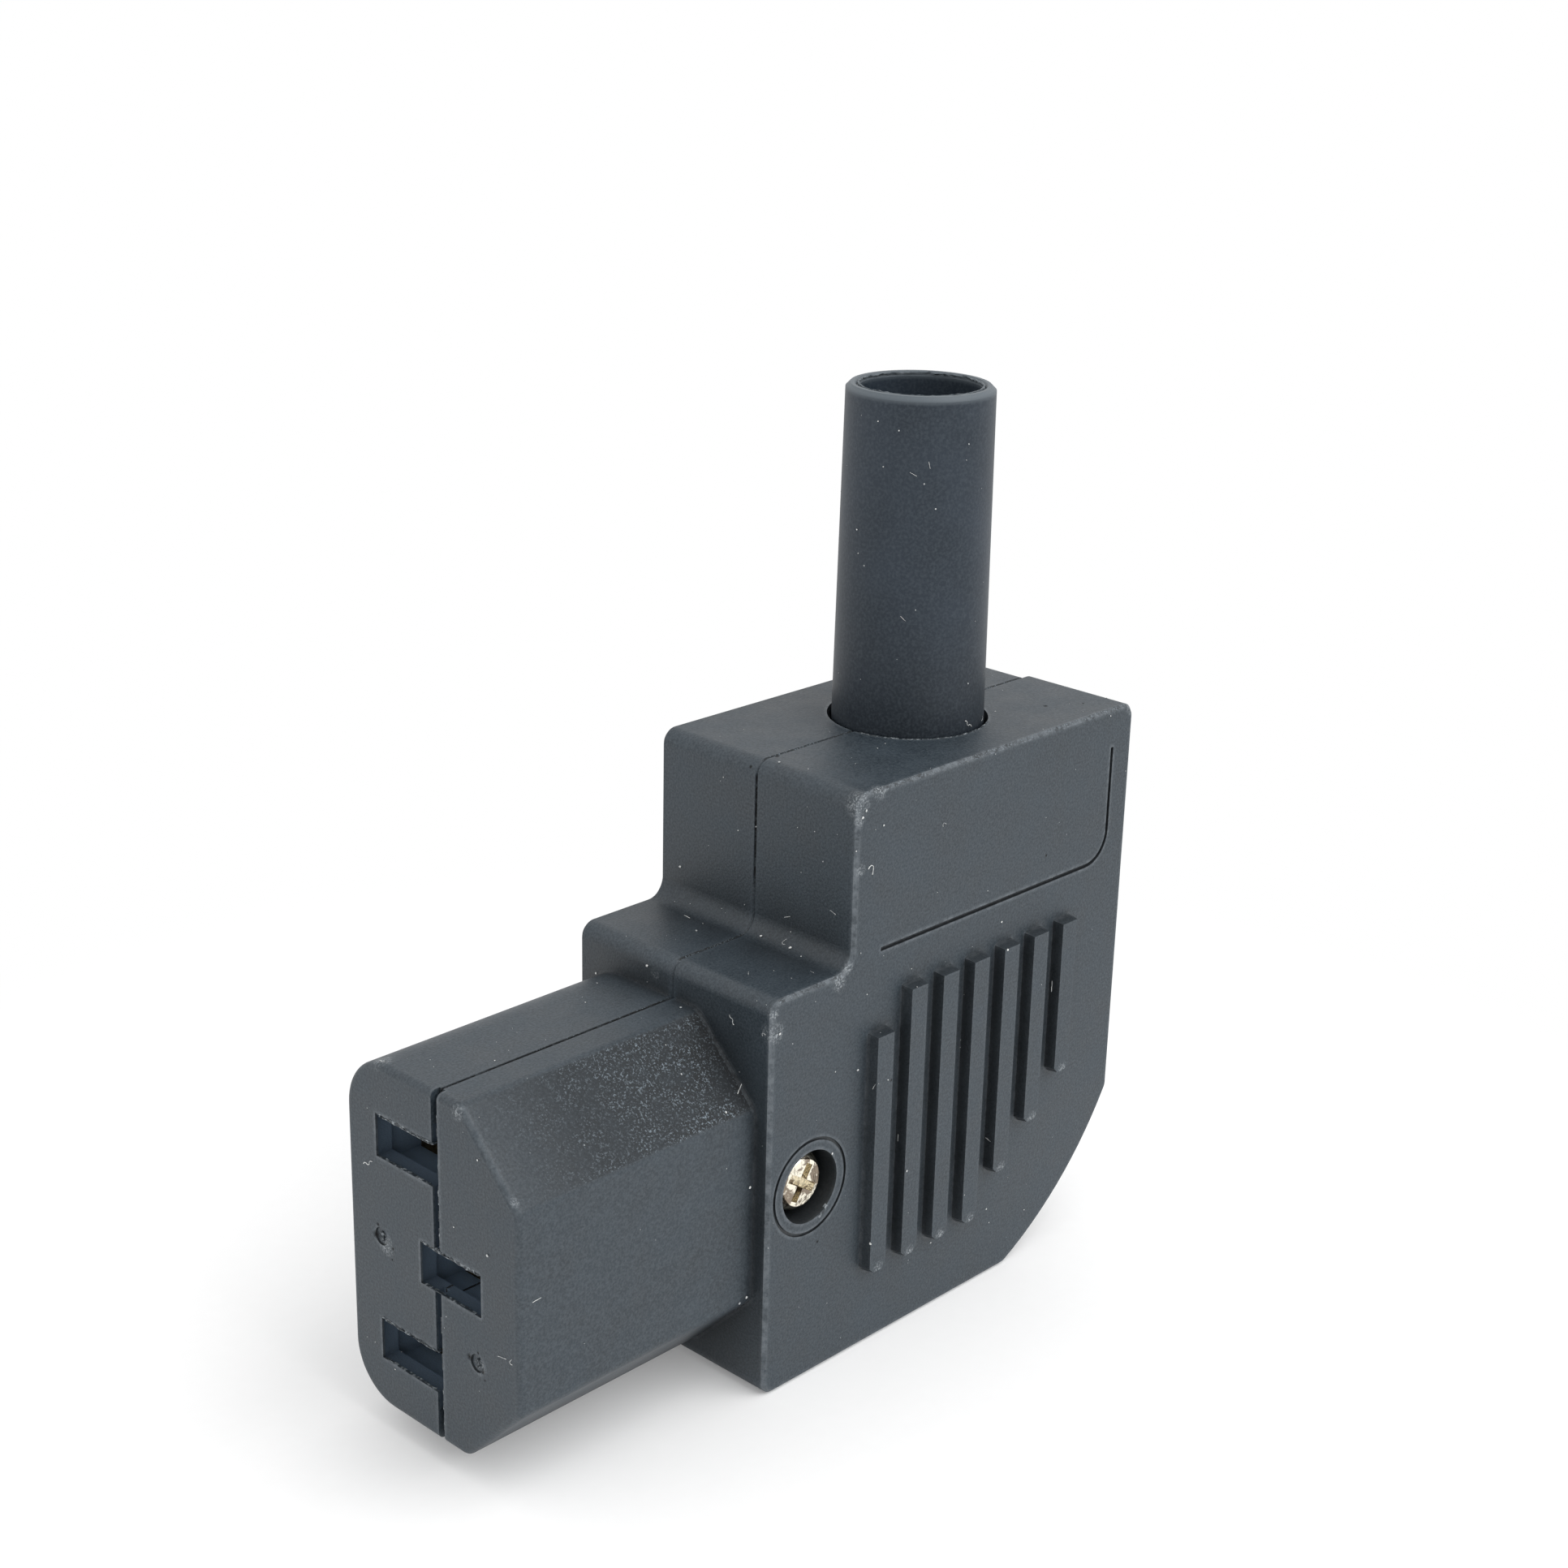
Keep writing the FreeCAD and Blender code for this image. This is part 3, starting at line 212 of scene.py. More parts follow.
world = bpy.data.worlds.new("white_room")
bpy.context.scene.world = world
world.use_nodes = True
tree = world.node_tree
tree.nodes.clear()
strength = add_node(tree, "MapRange", {"Value": looking_rays(tree), "To Min": ROOM_LIGHT})
room = add_node(tree, "Background", {"Color": (1, 1, 1, 1), "Strength": strength.outputs[0]})
add_node(tree, "OutputWorld", {"Surface": room.outputs[0]})
print("world:", world.name)


# %% One wide soft lamp
def soft_lamp(name, azimuth, elevation, distance, width, watts):
    """A wide square lamp that looks at the connector from a heading and a height."""
    bpy.ops.object.light_add(type="AREA")
    lamp = bpy.context.object
    lamp.name = name
    lamp.data.shape = "SQUARE"
    lamp.data.size = width
    lamp.data.energy = watts
    turn = Euler((math.radians(90 - elevation), 0, math.radians(azimuth + 90)))
    lamp.rotation_euler = turn
    target = Vector((0, 0, 0.02))  # in the lower half of the connector
    lamp.location = target + turn.to_matrix() @ Vector((0, 0, distance))
    return lamp


soft_lamp("lamp_right", azimuth=290, elevation=50, distance=0.7, width=0.6, watts=2.6)

# %% [markdown]
# ## Charcoal moulding plastic
# The shells are glass-filled nylon, moulded in a tool whose walls were eroded
# by sparks. The tool leaves a fine sandy grain, about a sixth of a millimetre
# across. Handling polishes the edges, where the plastic turns paler in broken
# patches, knocks leave whitish scuffs at the corners, and a few sink pits are
# darkened with painted shade.
#
# The finish is one graph, built up in layers, and the places of wear come
# first. Each scuff or pit is a ball around one place: the distance to its
# centre, roughened with noise, says how strongly it shows.

# %% Places of wear on the shells
FACE = -27.2  # x of the slotted face in mm
SCUFFS = [  # centre in mm, radius in mm
    ((-0.5, -8.0, 38.6), 1.0), ((1.2, -8.3, 39.2), 0.8), ((-7.6, -8.1, 25.6), 0.9),
    ((-2.0, -8.3, 27.2), 0.7), ((-27.1, -1.8, 24.7), 0.6), ((-27.0, -6.6, 20.8), 0.4),
    ((-26.6, 5.8, 25.1), 0.8), ((-8.2, 2.0, 26.3), 0.5), ((FACE, 5.3, 13.2), 0.9),
    ((FACE, -3.4, 8.6), 0.7), ((27.0, -8.0, 39.0), 0.8),
]
# Along the block's front edge, as x and z, and at the foot of each rib.
BLOCK_EDGE = ((-0.6, 37.6), (-0.35, 34.3), (-1.2, 28.0), (-7.8, 26.9))
SCUFFS += [((x, -8.3, z), 0.5) for x, z in BLOCK_EDGE]
FIRST_RIB, RIB_PITCH = 1.9, 3.12
RIB_FEET = (5.55, 5.55, 5.55, 5.55, 8.3, 11.05, 13.8)
SCUFFS += [((FIRST_RIB + RIB_PITCH * order, -9.0, foot + 0.2), 0.65)
           for order, foot in enumerate(RIB_FEET)]
PITS = [  # centre in mm, radius in mm
    ((21.81, -4.83, 39.3), 0.20), ((18.35, -8.3, 30.35), 0.14), ((-3.29, -8.3, 9.51), 0.14),
    ((2.39, -9.1, 19.34), 0.11), ((0.82, 0.21, 39.3), 0.22), ((-0.7, 1.02, 38.74), 0.15),
    ((24.2, -6.2, 39.3), 0.12), ((FACE, 6.25, 13.5), 0.30), ((FACE, 6.0, 14.3), 0.16),
    ((FACE, 4.6, 13.2), 0.13), ((FACE, 4.7, 12.4), 0.10), ((FACE, -2.5, 8.9), 0.26),
    ((FACE, -3.7, 8.4), 0.22), ((FACE, -3.3, 9.5), 0.12), ((FACE, -3.9, 7.9), 0.10),
]

print("scuffs:", len(SCUFFS), "pits:", len(PITS))


# %% Patches around named places
CORE = 0.15  # a ball shows in full within this share of its radius


def patches(tree, place, spots, rough):
    """How much of each ball around a place covers a point, with a ragged border."""
    total = None
    for centre, radius in spots:
        away = add_node(tree, "VectorMath", {
            0: place, 1: Vector(centre) * MM}, operation="DISTANCE")
        share = add_node(tree, "MapRange", {
            "Value": away.outputs["Value"], "From Min": radius * MM,
            "From Max": CORE * radius * MM})
        total = share if total is None else add_node(
            tree, "Math", {0: total.outputs[0], 1: share.outputs[0]}, operation="MAXIMUM")
    ragged = add_node(tree, "Math", {0: total.outputs[0], 1: rough}, operation="MULTIPLY")
    return ragged.outputs[0]


# %% Spark-eroded charcoal nylon
# The base is dark and faintly cloudy from the flow of the melt.
GRAIN, CLOUD = 0.16 * MM, 3.0 * MM

shell_nylon, tree, surface, place = new_finish("nylon_spark_eroded_charcoal")
grain = add_node(tree, "TexNoise", {
    "Vector": place, "Scale": 1 / GRAIN, "Detail": 2.0, "Roughness": 0.6})
cloud = add_node(tree, "TexNoise", {
    "Vector": place, "Scale": 1 / CLOUD, "Detail": 4.0, "Roughness": 0.6})
tone = add_node(tree, "ValToRGB", {"Fac": cloud.outputs["Fac"]})
tone.color_ramp.elements[0].position, tone.color_ramp.elements[0].color = 0.3, linear("#18232b")
tone.color_ramp.elements[1].position, tone.color_ramp.elements[1].color = 0.7, linear("#232f38")

# The mottle of the grain itself: single grains catch a little more light.
mottle = add_node(tree, "MapRange", {
    "Value": grain.outputs["Fac"], "From Min": 0.35, "From Max": 0.72, "To Max": 0.5})
sandy = add_node(tree, "Mix", {
    "Factor": mottle.outputs[0], "A": tone.outputs["Color"],
    "B": linear("#4c555c")}, data_type="RGBA")
print("base and grain:", len(tree.nodes), "nodes")

# %% [markdown]
# ### The sloped top of the nose
# Here the melt arrives last and glass ends reach the skin, so this face is
# rougher than the rest. Its colour carries painted shade where it faces the lamp
# and in the hollows of the glass, and painted glints, more so towards the body.
# The way it faces picks it out, and nothing has to be painted by hand.

# %% A rough slope with a sparkle
SLOPE = (0.0, -0.707, 0.707)
GLASS, DRIFT = 0.15 * MM, 1.6 * MM

facing = add_node(tree, "NewGeometry")
slope = add_node(tree, "VectorMath", {
    0: facing.outputs["True Normal"], 1: SLOPE}, operation="DOT_PRODUCT")
on_slope = add_node(tree, "MapRange", {
    "Value": slope.outputs["Value"], "From Min": 0.93, "From Max": 0.99})
axes = add_node(tree, "SeparateXYZ", {"Vector": place})
inward = add_node(tree, "MapRange", {
    "Value": axes.outputs["X"], "From Min": -26 * MM, "From Max": -11 * MM, "To Min": 0.1})
zone = add_node(tree, "Math", {0: on_slope.outputs[0], 1: inward.outputs[0]}, operation="MULTIPLY")
glass = add_node(tree, "TexNoise", {
    "Vector": place, "Scale": 1 / GLASS, "Detail": 2.0, "Roughness": 0.8})
drift = add_node(tree, "TexNoise", {"Vector": place, "Scale": 1 / DRIFT, "Detail": 2.0})
patchy = add_node(tree, "MapRange", {
    "Value": drift.outputs["Fac"], "From Min": 0.35, "From Max": 0.6, "To Min": 0.35})
ends = add_node(tree, "MapRange", {
    "Value": glass.outputs["Fac"], "From Min": 0.55, "From Max": 0.66, "To Max": 0.8})
spread = add_node(tree, "Math", {0: zone.outputs[0], 1: patchy.outputs[0]}, operation="MULTIPLY")
sparkle = add_node(tree, "Math", {0: ends.outputs[0], 1: spread.outputs[0]}, operation="MULTIPLY")
# The hollows of the glass are darkened with painted shade.
hollow = add_node(tree, "MapRange", {
    "Value": glass.outputs["Fac"], "From Min": 0.54, "From Max": 0.38, "To Min": 0.4,
    "To Max": 0.95})
hollow_shade = add_node(tree, "Math", {0: hollow.outputs[0], 1: spread.outputs[0]}, operation="MULTIPLY")
# The slope faces the lamp, so its colour gets painted shade, more so towards the body.
set_in = add_node(tree, "MapRange", {
    "Value": axes.outputs["X"], "From Min": -27 * MM, "From Max": -20 * MM, "To Min": 0.25})
on_rough = add_node(tree, "Math", {
    0: on_slope.outputs[0], 1: set_in.outputs[0]}, operation="MULTIPLY")
slope_shade = add_node(tree, "MapRange", {"Value": on_rough.outputs[0], "To Max": 0.6})
coarser = add_node(tree, "Mix", {
    "Factor": slope_shade.outputs[0], "A": sandy.outputs["Result"],
    "B": linear("#0c1318")}, data_type="RGBA")
speckled = add_node(tree, "Mix", {
    "Factor": hollow_shade.outputs[0], "A": coarser.outputs["Result"],
    "B": linear("#0b0f12")}, data_type="RGBA")
# The glints of the glass are painted as pale specks.
glinting = add_node(tree, "Mix", {
    "Factor": sparkle.outputs[0], "A": speckled.outputs["Result"],
    "B": linear("#88959f")}, data_type="RGBA")
print("with the slope:", len(tree.nodes), "nodes")

# %% [markdown]
# ### Polished edges
# A Bevel node bends the normals near an edge and leaves the mesh alone. Where
# its normal leaves the true one, there is an edge to polish. The body's edges
# are truly round, and there the lean of the face tells. A coarser noise breaks
# the polish into patches.

# %% Edges that hands have polished
EDGE_WIDTH, RUB = 0.45 * MM, 0.6 * MM
BODY_START = -8.3 * MM
LEAN, LEAN_RANGE = 0.56, 0.40  # the normal's y on a rounded edge; flat faces are left out

rounded = add_node(tree, "Bevel", {"Radius": EDGE_WIDTH}, samples=6)
along = add_node(tree, "VectorMath", {
    0: rounded.outputs["Normal"], 1: facing.outputs["True Normal"]}, operation="DOT_PRODUCT")
edge = add_node(tree, "MapRange", {
    "Value": along.outputs["Value"], "From Min": 0.998, "From Max": 0.93})
rubbed = add_node(tree, "TexNoise", {
    "Vector": place, "Scale": 1 / RUB, "Detail": 5.0, "Roughness": 0.75})
broken = add_node(tree, "MapRange", {
    "Value": rubbed.outputs["Fac"], "From Min": 0.38, "From Max": 0.62, "To Min": 0.14,
    "To Max": 0.85})
sides = add_node(tree, "SeparateXYZ", {"Vector": facing.outputs["True Normal"]})
lean = add_node(tree, "Math", {0: sides.outputs["Y"]}, operation="ABSOLUTE")
round_edge = add_node(tree, "Math", {
    0: lean.outputs[0], 1: LEAN, 2: LEAN_RANGE}, operation="COMPARE")
on_body = add_node(tree, "Math", {0: axes.outputs["X"], 1: BODY_START}, operation="GREATER_THAN")
body_edge = add_node(tree, "Math", {
    0: round_edge.outputs[0], 1: on_body.outputs[0]}, operation="MULTIPLY")
any_edge = add_node(tree, "Math", {
    0: edge.outputs[0], 1: body_edge.outputs[0]}, operation="MAXIMUM")
polished = add_node(tree, "Math", {
    0: any_edge.outputs[0], 1: broken.outputs[0]}, operation="MULTIPLY")
print("with the edges:", len(tree.nodes), "nodes")

# %% Where hands don't reach
# The edges along the seam were never rubbed, the fronts of the ribs hardly,
# and the back stays plain.
SEAM, BACK = 0.4 * MM, 7.5 * MM

off_seam = add_node(tree, "Math", {0: axes.outputs["Y"], 1: SEAM}, operation="SUBTRACT")
from_seam = add_node(tree, "Math", {0: off_seam.outputs[0]}, operation="ABSOLUTE")
clear = add_node(tree, "MapRange", {
    "Value": from_seam.outputs[0], "From Min": 0.15 * MM, "From Max": 0.45 * MM})
touched = add_node(tree, "Math", {
    0: polished.outputs[0], 1: clear.outputs[0]}, operation="MULTIPLY")
proud = add_node(tree, "MapRange", {
    "Value": axes.outputs["Y"], "From Min": -8.5 * MM, "From Max": -8.8 * MM, "To Min": 1.0,
    "To Max": 0.12})
plain_back = add_node(tree, "Math", {0: axes.outputs["Y"], 1: BACK}, operation="LESS_THAN")
worked = add_node(tree, "Math", {
    0: touched.outputs[0], 1: plain_back.outputs[0]}, operation="MULTIPLY")
spared = add_node(tree, "Math", {0: worked.outputs[0], 1: proud.outputs[0]}, operation="MULTIPLY")

# The tip's upper front corner rubs on every socket that it is pushed into.
TIP, TIP_CORNER = -26.0 * MM, (-0.64, -0.54, 0.54)
lead_in = add_node(tree, "VectorMath", {
    0: rounded.outputs["Normal"], 1: TIP_CORNER}, operation="DOT_PRODUCT")
plugged = add_node(tree, "MapRange", {
    "Value": lead_in.outputs["Value"], "From Min": 0.86, "From Max": 0.98, "To Max": 0.5})
at_tip = add_node(tree, "Math", {0: axes.outputs["X"], 1: TIP}, operation="LESS_THAN")
near_tip = add_node(tree, "Math", {
    0: plugged.outputs[0], 1: at_tip.outputs[0]}, operation="MULTIPLY")
rubbed_tip = add_node(tree, "Math", {
    0: near_tip.outputs[0], 1: broken.outputs[0]}, operation="MULTIPLY")
wear = add_node(tree, "Math", {0: spared.outputs[0], 1: rubbed_tip.outputs[0]}, operation="MAXIMUM")
print("with the wear:", len(tree.nodes), "nodes")

# %% The open line of the seam
# On the nose and on the front of the block the seam is an open dark line,
# broken into dashes by the coarser noise. On the block's top it nearly fades.
line = add_node(tree, "MapRange", {
    "Value": from_seam.outputs[0], "From Min": 0.10 * MM, "From Max": 0.05 * MM})
on_nose = add_node(tree, "MapRange", {
    "Value": axes.outputs["X"], "From Min": -8.2 * MM, "From Max": -8.6 * MM})
high_up = add_node(tree, "MapRange", {
    "Value": axes.outputs["Z"], "From Min": 30.6 * MM, "From Max": 31.8 * MM})
in_front = add_node(tree, "Math", {0: axes.outputs["X"], 1: 3.0 * MM}, operation="LESS_THAN")
on_block = add_node(tree, "Math", {
    0: high_up.outputs[0], 1: in_front.outputs[0]}, operation="MULTIPLY")
where = add_node(tree, "Math", {0: on_nose.outputs[0], 1: on_block.outputs[0]}, operation="MAXIMUM")
dashes = add_node(tree, "MapRange", {
    "Value": rubbed.outputs["Fac"], "From Min": 0.42, "From Max": 0.50, "To Min": 0.2})
on_top = add_node(tree, "MapRange", {
    "Value": axes.outputs["Z"], "From Min": 38.2 * MM, "From Max": 38.5 * MM, "To Min": 1.0,
    "To Max": 0.08})
faded = add_node(tree, "Math", {0: where.outputs[0], 1: on_top.outputs[0]}, operation="MULTIPLY")
open_line = add_node(tree, "Math", {0: line.outputs[0], 1: faded.outputs[0]}, operation="MULTIPLY")
seam_line = add_node(tree, "Math", {
    0: open_line.outputs[0], 1: dashes.outputs[0]}, operation="MULTIPLY")
print("with the seam:", len(tree.nodes), "nodes")

# %% Pale scuffs and edges
flecked = add_node(tree, "MapRange", {
    "Value": glass.outputs["Fac"], "From Min": 0.48, "From Max": 0.62, "To Min": 0.05,
    "To Max": 0.8})
scuffed = patches(tree, place, SCUFFS, flecked.outputs[0])
handled = add_node(tree, "Mix", {
    "Factor": wear.outputs[0], "A": glinting.outputs["Result"],
    "B": linear("#646b71")}, data_type="RGBA")
worn = add_node(tree, "Mix", {
    "Factor": scuffed, "A": handled.outputs["Result"], "B": linear("#9aa0a4")}, data_type="RGBA")
print("with the scuffs:", len(tree.nodes), "nodes")

# %% [markdown]
# ### Painted shade in the corners
# Corners and gaps are darkened with painted shade.
# An Ambient Occlusion node finds them, for it says how open the surroundings
# of a point are. The body's seam is left out, or it would turn into a stripe.

# %% Shaded corners and gaps
SHELTER = 7.0 * MM

sheltered = add_node(tree, "AmbientOcclusion", {"Distance": SHELTER}, samples=8, only_local=True)
# How much painted shade each point gets, at most 0.85.
corner_shade = add_node(tree, "MapRange", {
    "Value": sheltered.outputs["AO"], "From Min": 0.92, "From Max": 0.35, "To Max": 0.85})
off_line = add_node(tree, "Math", {0: clear.outputs[0], 1: on_nose.outputs[0]}, operation="MAXIMUM")
painted_corner_shade = add_node(tree, "Math", {
    0: corner_shade.outputs[0], 1: off_line.outputs[0]}, operation="MULTIPLY")
shaded = add_node(tree, "Mix", {
    "Factor": painted_corner_shade.outputs[0], "A": worn.outputs["Result"],
    "B": linear("#07090b")}, data_type="RGBA")
print("with the grease:", len(tree.nodes), "nodes")

# %% Inside the cells
# Inside the cells of the nose the plastic is matt and was never touched. It
# looks an even dark blue, painted light against the shade: its colour is
# painted paler with depth. A box just inside the nose's skin, less two corners,
# holds the cells.
NOSE_Y, NOSE_Z = 1.0 * MM, 13.45 * MM
HALF_WIDTH, HALF_HEIGHT, CUT_CORNER = 6.6 * MM, 9.6 * MM, 12.6 * MM
CELLS_END = -8.8 * MM

behind = add_node(tree, "MapRange", {
    "Value": axes.outputs["X"], "From Min": -27.08 * MM, "From Max": -27.0 * MM})
in_y = add_node(tree, "Math", {0: axes.outputs["Y"], 1: NOSE_Y, 2: HALF_WIDTH}, operation="COMPARE")
in_z = add_node(tree, "Math", {
    0: axes.outputs["Z"], 1: NOSE_Z, 2: HALF_HEIGHT}, operation="COMPARE")
rise = add_node(tree, "Math", {0: axes.outputs["Z"], 1: NOSE_Z}, operation="SUBTRACT")
height = add_node(tree, "Math", {0: rise.outputs[0]}, operation="ABSOLUTE")
diagonal = add_node(tree, "Math", {
    0: height.outputs[0], 1: axes.outputs["Y"]}, operation="SUBTRACT")
off_slope = add_node(tree, "Math", {0: diagonal.outputs[0], 1: CUT_CORNER}, operation="LESS_THAN")
in_square = add_node(tree, "Math", {0: in_y.outputs[0], 1: in_z.outputs[0]}, operation="MULTIPLY")
in_yz = add_node(tree, "Math", {
    0: in_square.outputs[0], 1: off_slope.outputs[0]}, operation="MULTIPLY")
before = add_node(tree, "Math", {0: axes.outputs["X"], 1: CELLS_END}, operation="LESS_THAN")
in_nose = add_node(tree, "Math", {0: in_yz.outputs[0], 1: before.outputs[0]}, operation="MULTIPLY")
in_cell = add_node(tree, "Math", {
    0: behind.outputs[0], 1: in_nose.outputs[0]}, operation="MULTIPLY")
# Painted light: the colour gets paler with depth.
depth = add_node(tree, "MapRange", {
    "Value": axes.outputs["X"], "From Min": -27.0 * MM, "From Max": -24.6 * MM})
deep = add_node(tree, "Mix", {
    "Factor": depth.outputs[0], "A": linear("#2a3845"), "B": linear("#6f8296")}, data_type="RGBA")
celled = add_node(tree, "Mix", {
    "Factor": in_cell.outputs[0], "A": shaded.outputs["Result"],
    "B": deep.outputs["Result"]}, data_type="RGBA")
print("with the cells:", len(tree.nodes), "nodes")

# %% Pits, roughness and relief
# The pits are darkened with painted shade, and the seam's line is dark too.
pits = patches(tree, place, PITS, 1.0)
pitted = add_node(tree, "Math", {0: pits, 1: seam_line.outputs[0]}, operation="MAXIMUM").outputs[0]
dark = add_node(tree, "Mix", {
    "Factor": pitted, "A": celled.outputs["Result"], "B": linear("#08090b")}, data_type="RGBA")
tree.links.new(dark.outputs["Result"], surface.inputs["Base Color"])

# The slope is rougher than the rest. Pits and cells are fully matt.
gloss = add_node(tree, "MapRange", {
    "Value": cloud.outputs["Fac"], "From Min": 0.3, "From Max": 0.7, "To Min": 0.46,
    "To Max": 0.56})
unseen = add_node(tree, "Math", {0: pitted, 1: in_cell.outputs[0]}, operation="MAXIMUM")
sloped = add_node(tree, "Mix", {
    "Factor": on_rough.outputs[0], "A": gloss.outputs[0], "B": 0.72}, data_type="FLOAT")
matt = add_node(tree, "Mix", {
    "Factor": unseen.outputs[0], "A": sloped.outputs[0], "B": 1.0}, data_type="FLOAT")
tree.links.new(matt.outputs[0], surface.inputs["Roughness"])

# The relief is the grain, with the glass on the slope, and the pits go deep.
coarse = add_node(tree, "Math", {0: zone.outputs[0], 1: glass.outputs["Fac"]}, operation="MULTIPLY")
relief = add_node(tree, "Math", {0: grain.outputs["Fac"], 1: coarse.outputs[0]}, operation="ADD")
sunk = add_node(tree, "Math", {0: pitted, 1: -6.0, 2: relief.outputs[0]}, operation="MULTIPLY_ADD")
bump = add_node(tree, "Bump", {"Height": sunk.outputs[0], "Strength": 0.7, "Distance": 0.03 * MM})
tree.links.new(bump.outputs["Normal"], surface.inputs["Normal"])
surface.inputs["IOR"].default_value = 1.55
print("finish:", shell_nylon.name)

# %% [markdown]
# ## Satin sleeve rubber
# The sleeve is a soft thermoplastic rubber. Its mould was only lightly
# blasted, so it is smoother than the shells and carries a soft sheen. A slight
# bloom greys it, painted shade darkens it towards its foot on the block, and
# a painted highlight makes its mouth paler.

# %% Satin rubber
sleeve_rubber, tree, surface, place = new_finish("thermoplastic_rubber_satin")
bloom = add_node(tree, "TexNoise", {"Vector": place, "Scale": 1 / (5 * MM), "Detail": 3.0})
tone = add_node(tree, "ValToRGB", {"Fac": bloom.outputs["Fac"]})
tone.color_ramp.elements[0].position, tone.color_ramp.elements[0].color = 0.3, linear("#1c2630")
tone.color_ramp.elements[1].position, tone.color_ramp.elements[1].color = 0.7, linear("#252f3a")
axes = add_node(tree, "SeparateXYZ", {"Vector": place})
# Painted shade darkens the sleeve towards its foot.
foot = add_node(tree, "MapRange", {
    "Value": axes.outputs["Z"], "From Min": 47 * MM, "From Max": 39 * MM, "To Max": 0.6})
low = add_node(tree, "Mix", {
    "Factor": foot.outputs[0], "A": tone.outputs["Color"],
    "B": linear("#14191e")}, data_type="RGBA")
# A painted highlight makes the mouth paler.
mouth = add_node(tree, "MapRange", {
    "Value": axes.outputs["Z"], "From Min": 61.0 * MM, "From Max": 61.4 * MM, "To Max": 0.9})
highlit_mouth = add_node(tree, "Mix", {
    "Factor": mouth.outputs[0], "A": low.outputs["Result"],
    "B": linear("#5b6369")}, data_type="RGBA")
skin = add_node(tree, "TexNoise", {"Vector": place, "Scale": 1 / (0.18 * MM), "Detail": 2.0})
mottle = add_node(tree, "MapRange", {
    "Value": skin.outputs["Fac"], "From Min": 0.4, "From Max": 0.75, "To Max": 0.3})
sandy = add_node(tree, "Mix", {
    "Factor": mottle.outputs[0], "A": highlit_mouth.outputs["Result"],
    "B": linear("#4c555c")}, data_type="RGBA")
tree.links.new(sandy.outputs["Result"], surface.inputs["Base Color"])
bump = add_node(tree, "Bump", {
    "Height": skin.outputs["Fac"], "Strength": 0.25, "Distance": 0.015 * MM})
tree.links.new(bump.outputs["Normal"], surface.inputs["Normal"])
surface.inputs["Roughness"].default_value = 0.5
surface.inputs["IOR"].default_value = 1.42
print("finish:", sleeve_rubber.name)

# %% [markdown]
# ## Metals
# The casing screw is steel with a bright nickel plate that many screwdrivers
# have scraped into long scratches across. It is pale cream with brownish
# patches, a painted reflection of the dark surroundings. The hidden screws and
# wire clamps are zinc-plated, and the contacts are rolled brass, dulled by handling.

# %% Nickel, zinc and brass
def metal_finish(name, colour, darker, roughness, trace, depth):
    """A plated or rolled metal: a tone that varies with a trace of its making."""
    material, tree, surface, place = new_finish(name)
    marks = add_node(tree, "TexNoise", {"Vector": place, "Scale": 1 / trace, "Detail": 3.0})
    tone = add_node(tree, "ValToRGB", {"Fac": marks.outputs["Fac"]})
    tone.color_ramp.elements[0].position, tone.color_ramp.elements[0].color = 0.3, linear(darker)
    tone.color_ramp.elements[1].position, tone.color_ramp.elements[1].color = 0.7, linear(colour)
    tree.links.new(tone.outputs["Color"], surface.inputs["Base Color"])
    bump = add_node(tree, "Bump", {
        "Height": marks.outputs["Fac"], "Strength": 0.3, "Distance": depth})
    tree.links.new(bump.outputs["Normal"], surface.inputs["Normal"])
    surface.inputs["Metallic"].default_value = 1.0
    surface.inputs["Roughness"].default_value = roughness
    return material


zinc_plate = metal_finish("steel_zinc_plated", "#c9cac6", "#aeb0ae", 0.34, 0.2 * MM, 0.01 * MM)
rolled_brass = metal_finish("brass_rolled_dull", "#6e5f45", "#4a3f2e", 0.5, 0.3 * MM, 0.01 * MM)
print("metals:", zinc_plate.name, rolled_brass.name)

# %% Scraped nickel plate
bright_nickel, tree, surface, place = new_finish("steel_nickel_plate_scraped")
reflected_patch_noise = add_node(tree, "TexNoise", {
    "Vector": place, "Scale": 1 / (1.3 * MM), "Detail": 4.0, "Roughness": 0.65, "Distortion": 1.2})
# The brownish patches are a painted reflection of the dark surroundings.
tone = add_node(tree, "ValToRGB", {"Fac": reflected_patch_noise.outputs["Fac"]})
tone.color_ramp.elements[0].position, tone.color_ramp.elements[0].color = 0.44, linear("#8e8172")
tone.color_ramp.elements[1].position, tone.color_ramp.elements[1].color = 0.50, linear("#fdf6e4")
stretched = add_node(tree, "Mapping", {
    "Vector": place, "Rotation": (0.0, math.radians(28), 0.0), "Scale": (1.0, 1.0, 0.12)})
scrape = add_node(tree, "TexNoise", {
    "Vector": stretched.outputs[0], "Scale": 1 / (0.12 * MM), "Detail": 2.0})
streak = add_node(tree, "MapRange", {
    "Value": scrape.outputs["Fac"], "From Min": 0.60, "From Max": 0.70, "To Max": 0.6})
scratched = add_node(tree, "Mix", {
    "Factor": streak.outputs[0], "A": tone.outputs["Color"],
    "B": linear("#7d7468")}, data_type="RGBA")
tree.links.new(scratched.outputs["Result"], surface.inputs["Base Color"])
height = add_node(tree, "Math", {
    0: scrape.outputs["Fac"], 1: -0.35, 2: reflected_patch_noise.outputs["Fac"]}, operation="MULTIPLY_ADD")
bump = add_node(tree, "Bump", {"Height": height.outputs[0], "Strength": 0.6, "Distance": 0.12 * MM})
tree.links.new(bump.outputs["Normal"], surface.inputs["Normal"])
surface.inputs["Metallic"].default_value = 1.0
surface.inputs["Roughness"].default_value = 0.18
print("finish:", bright_nickel.name)

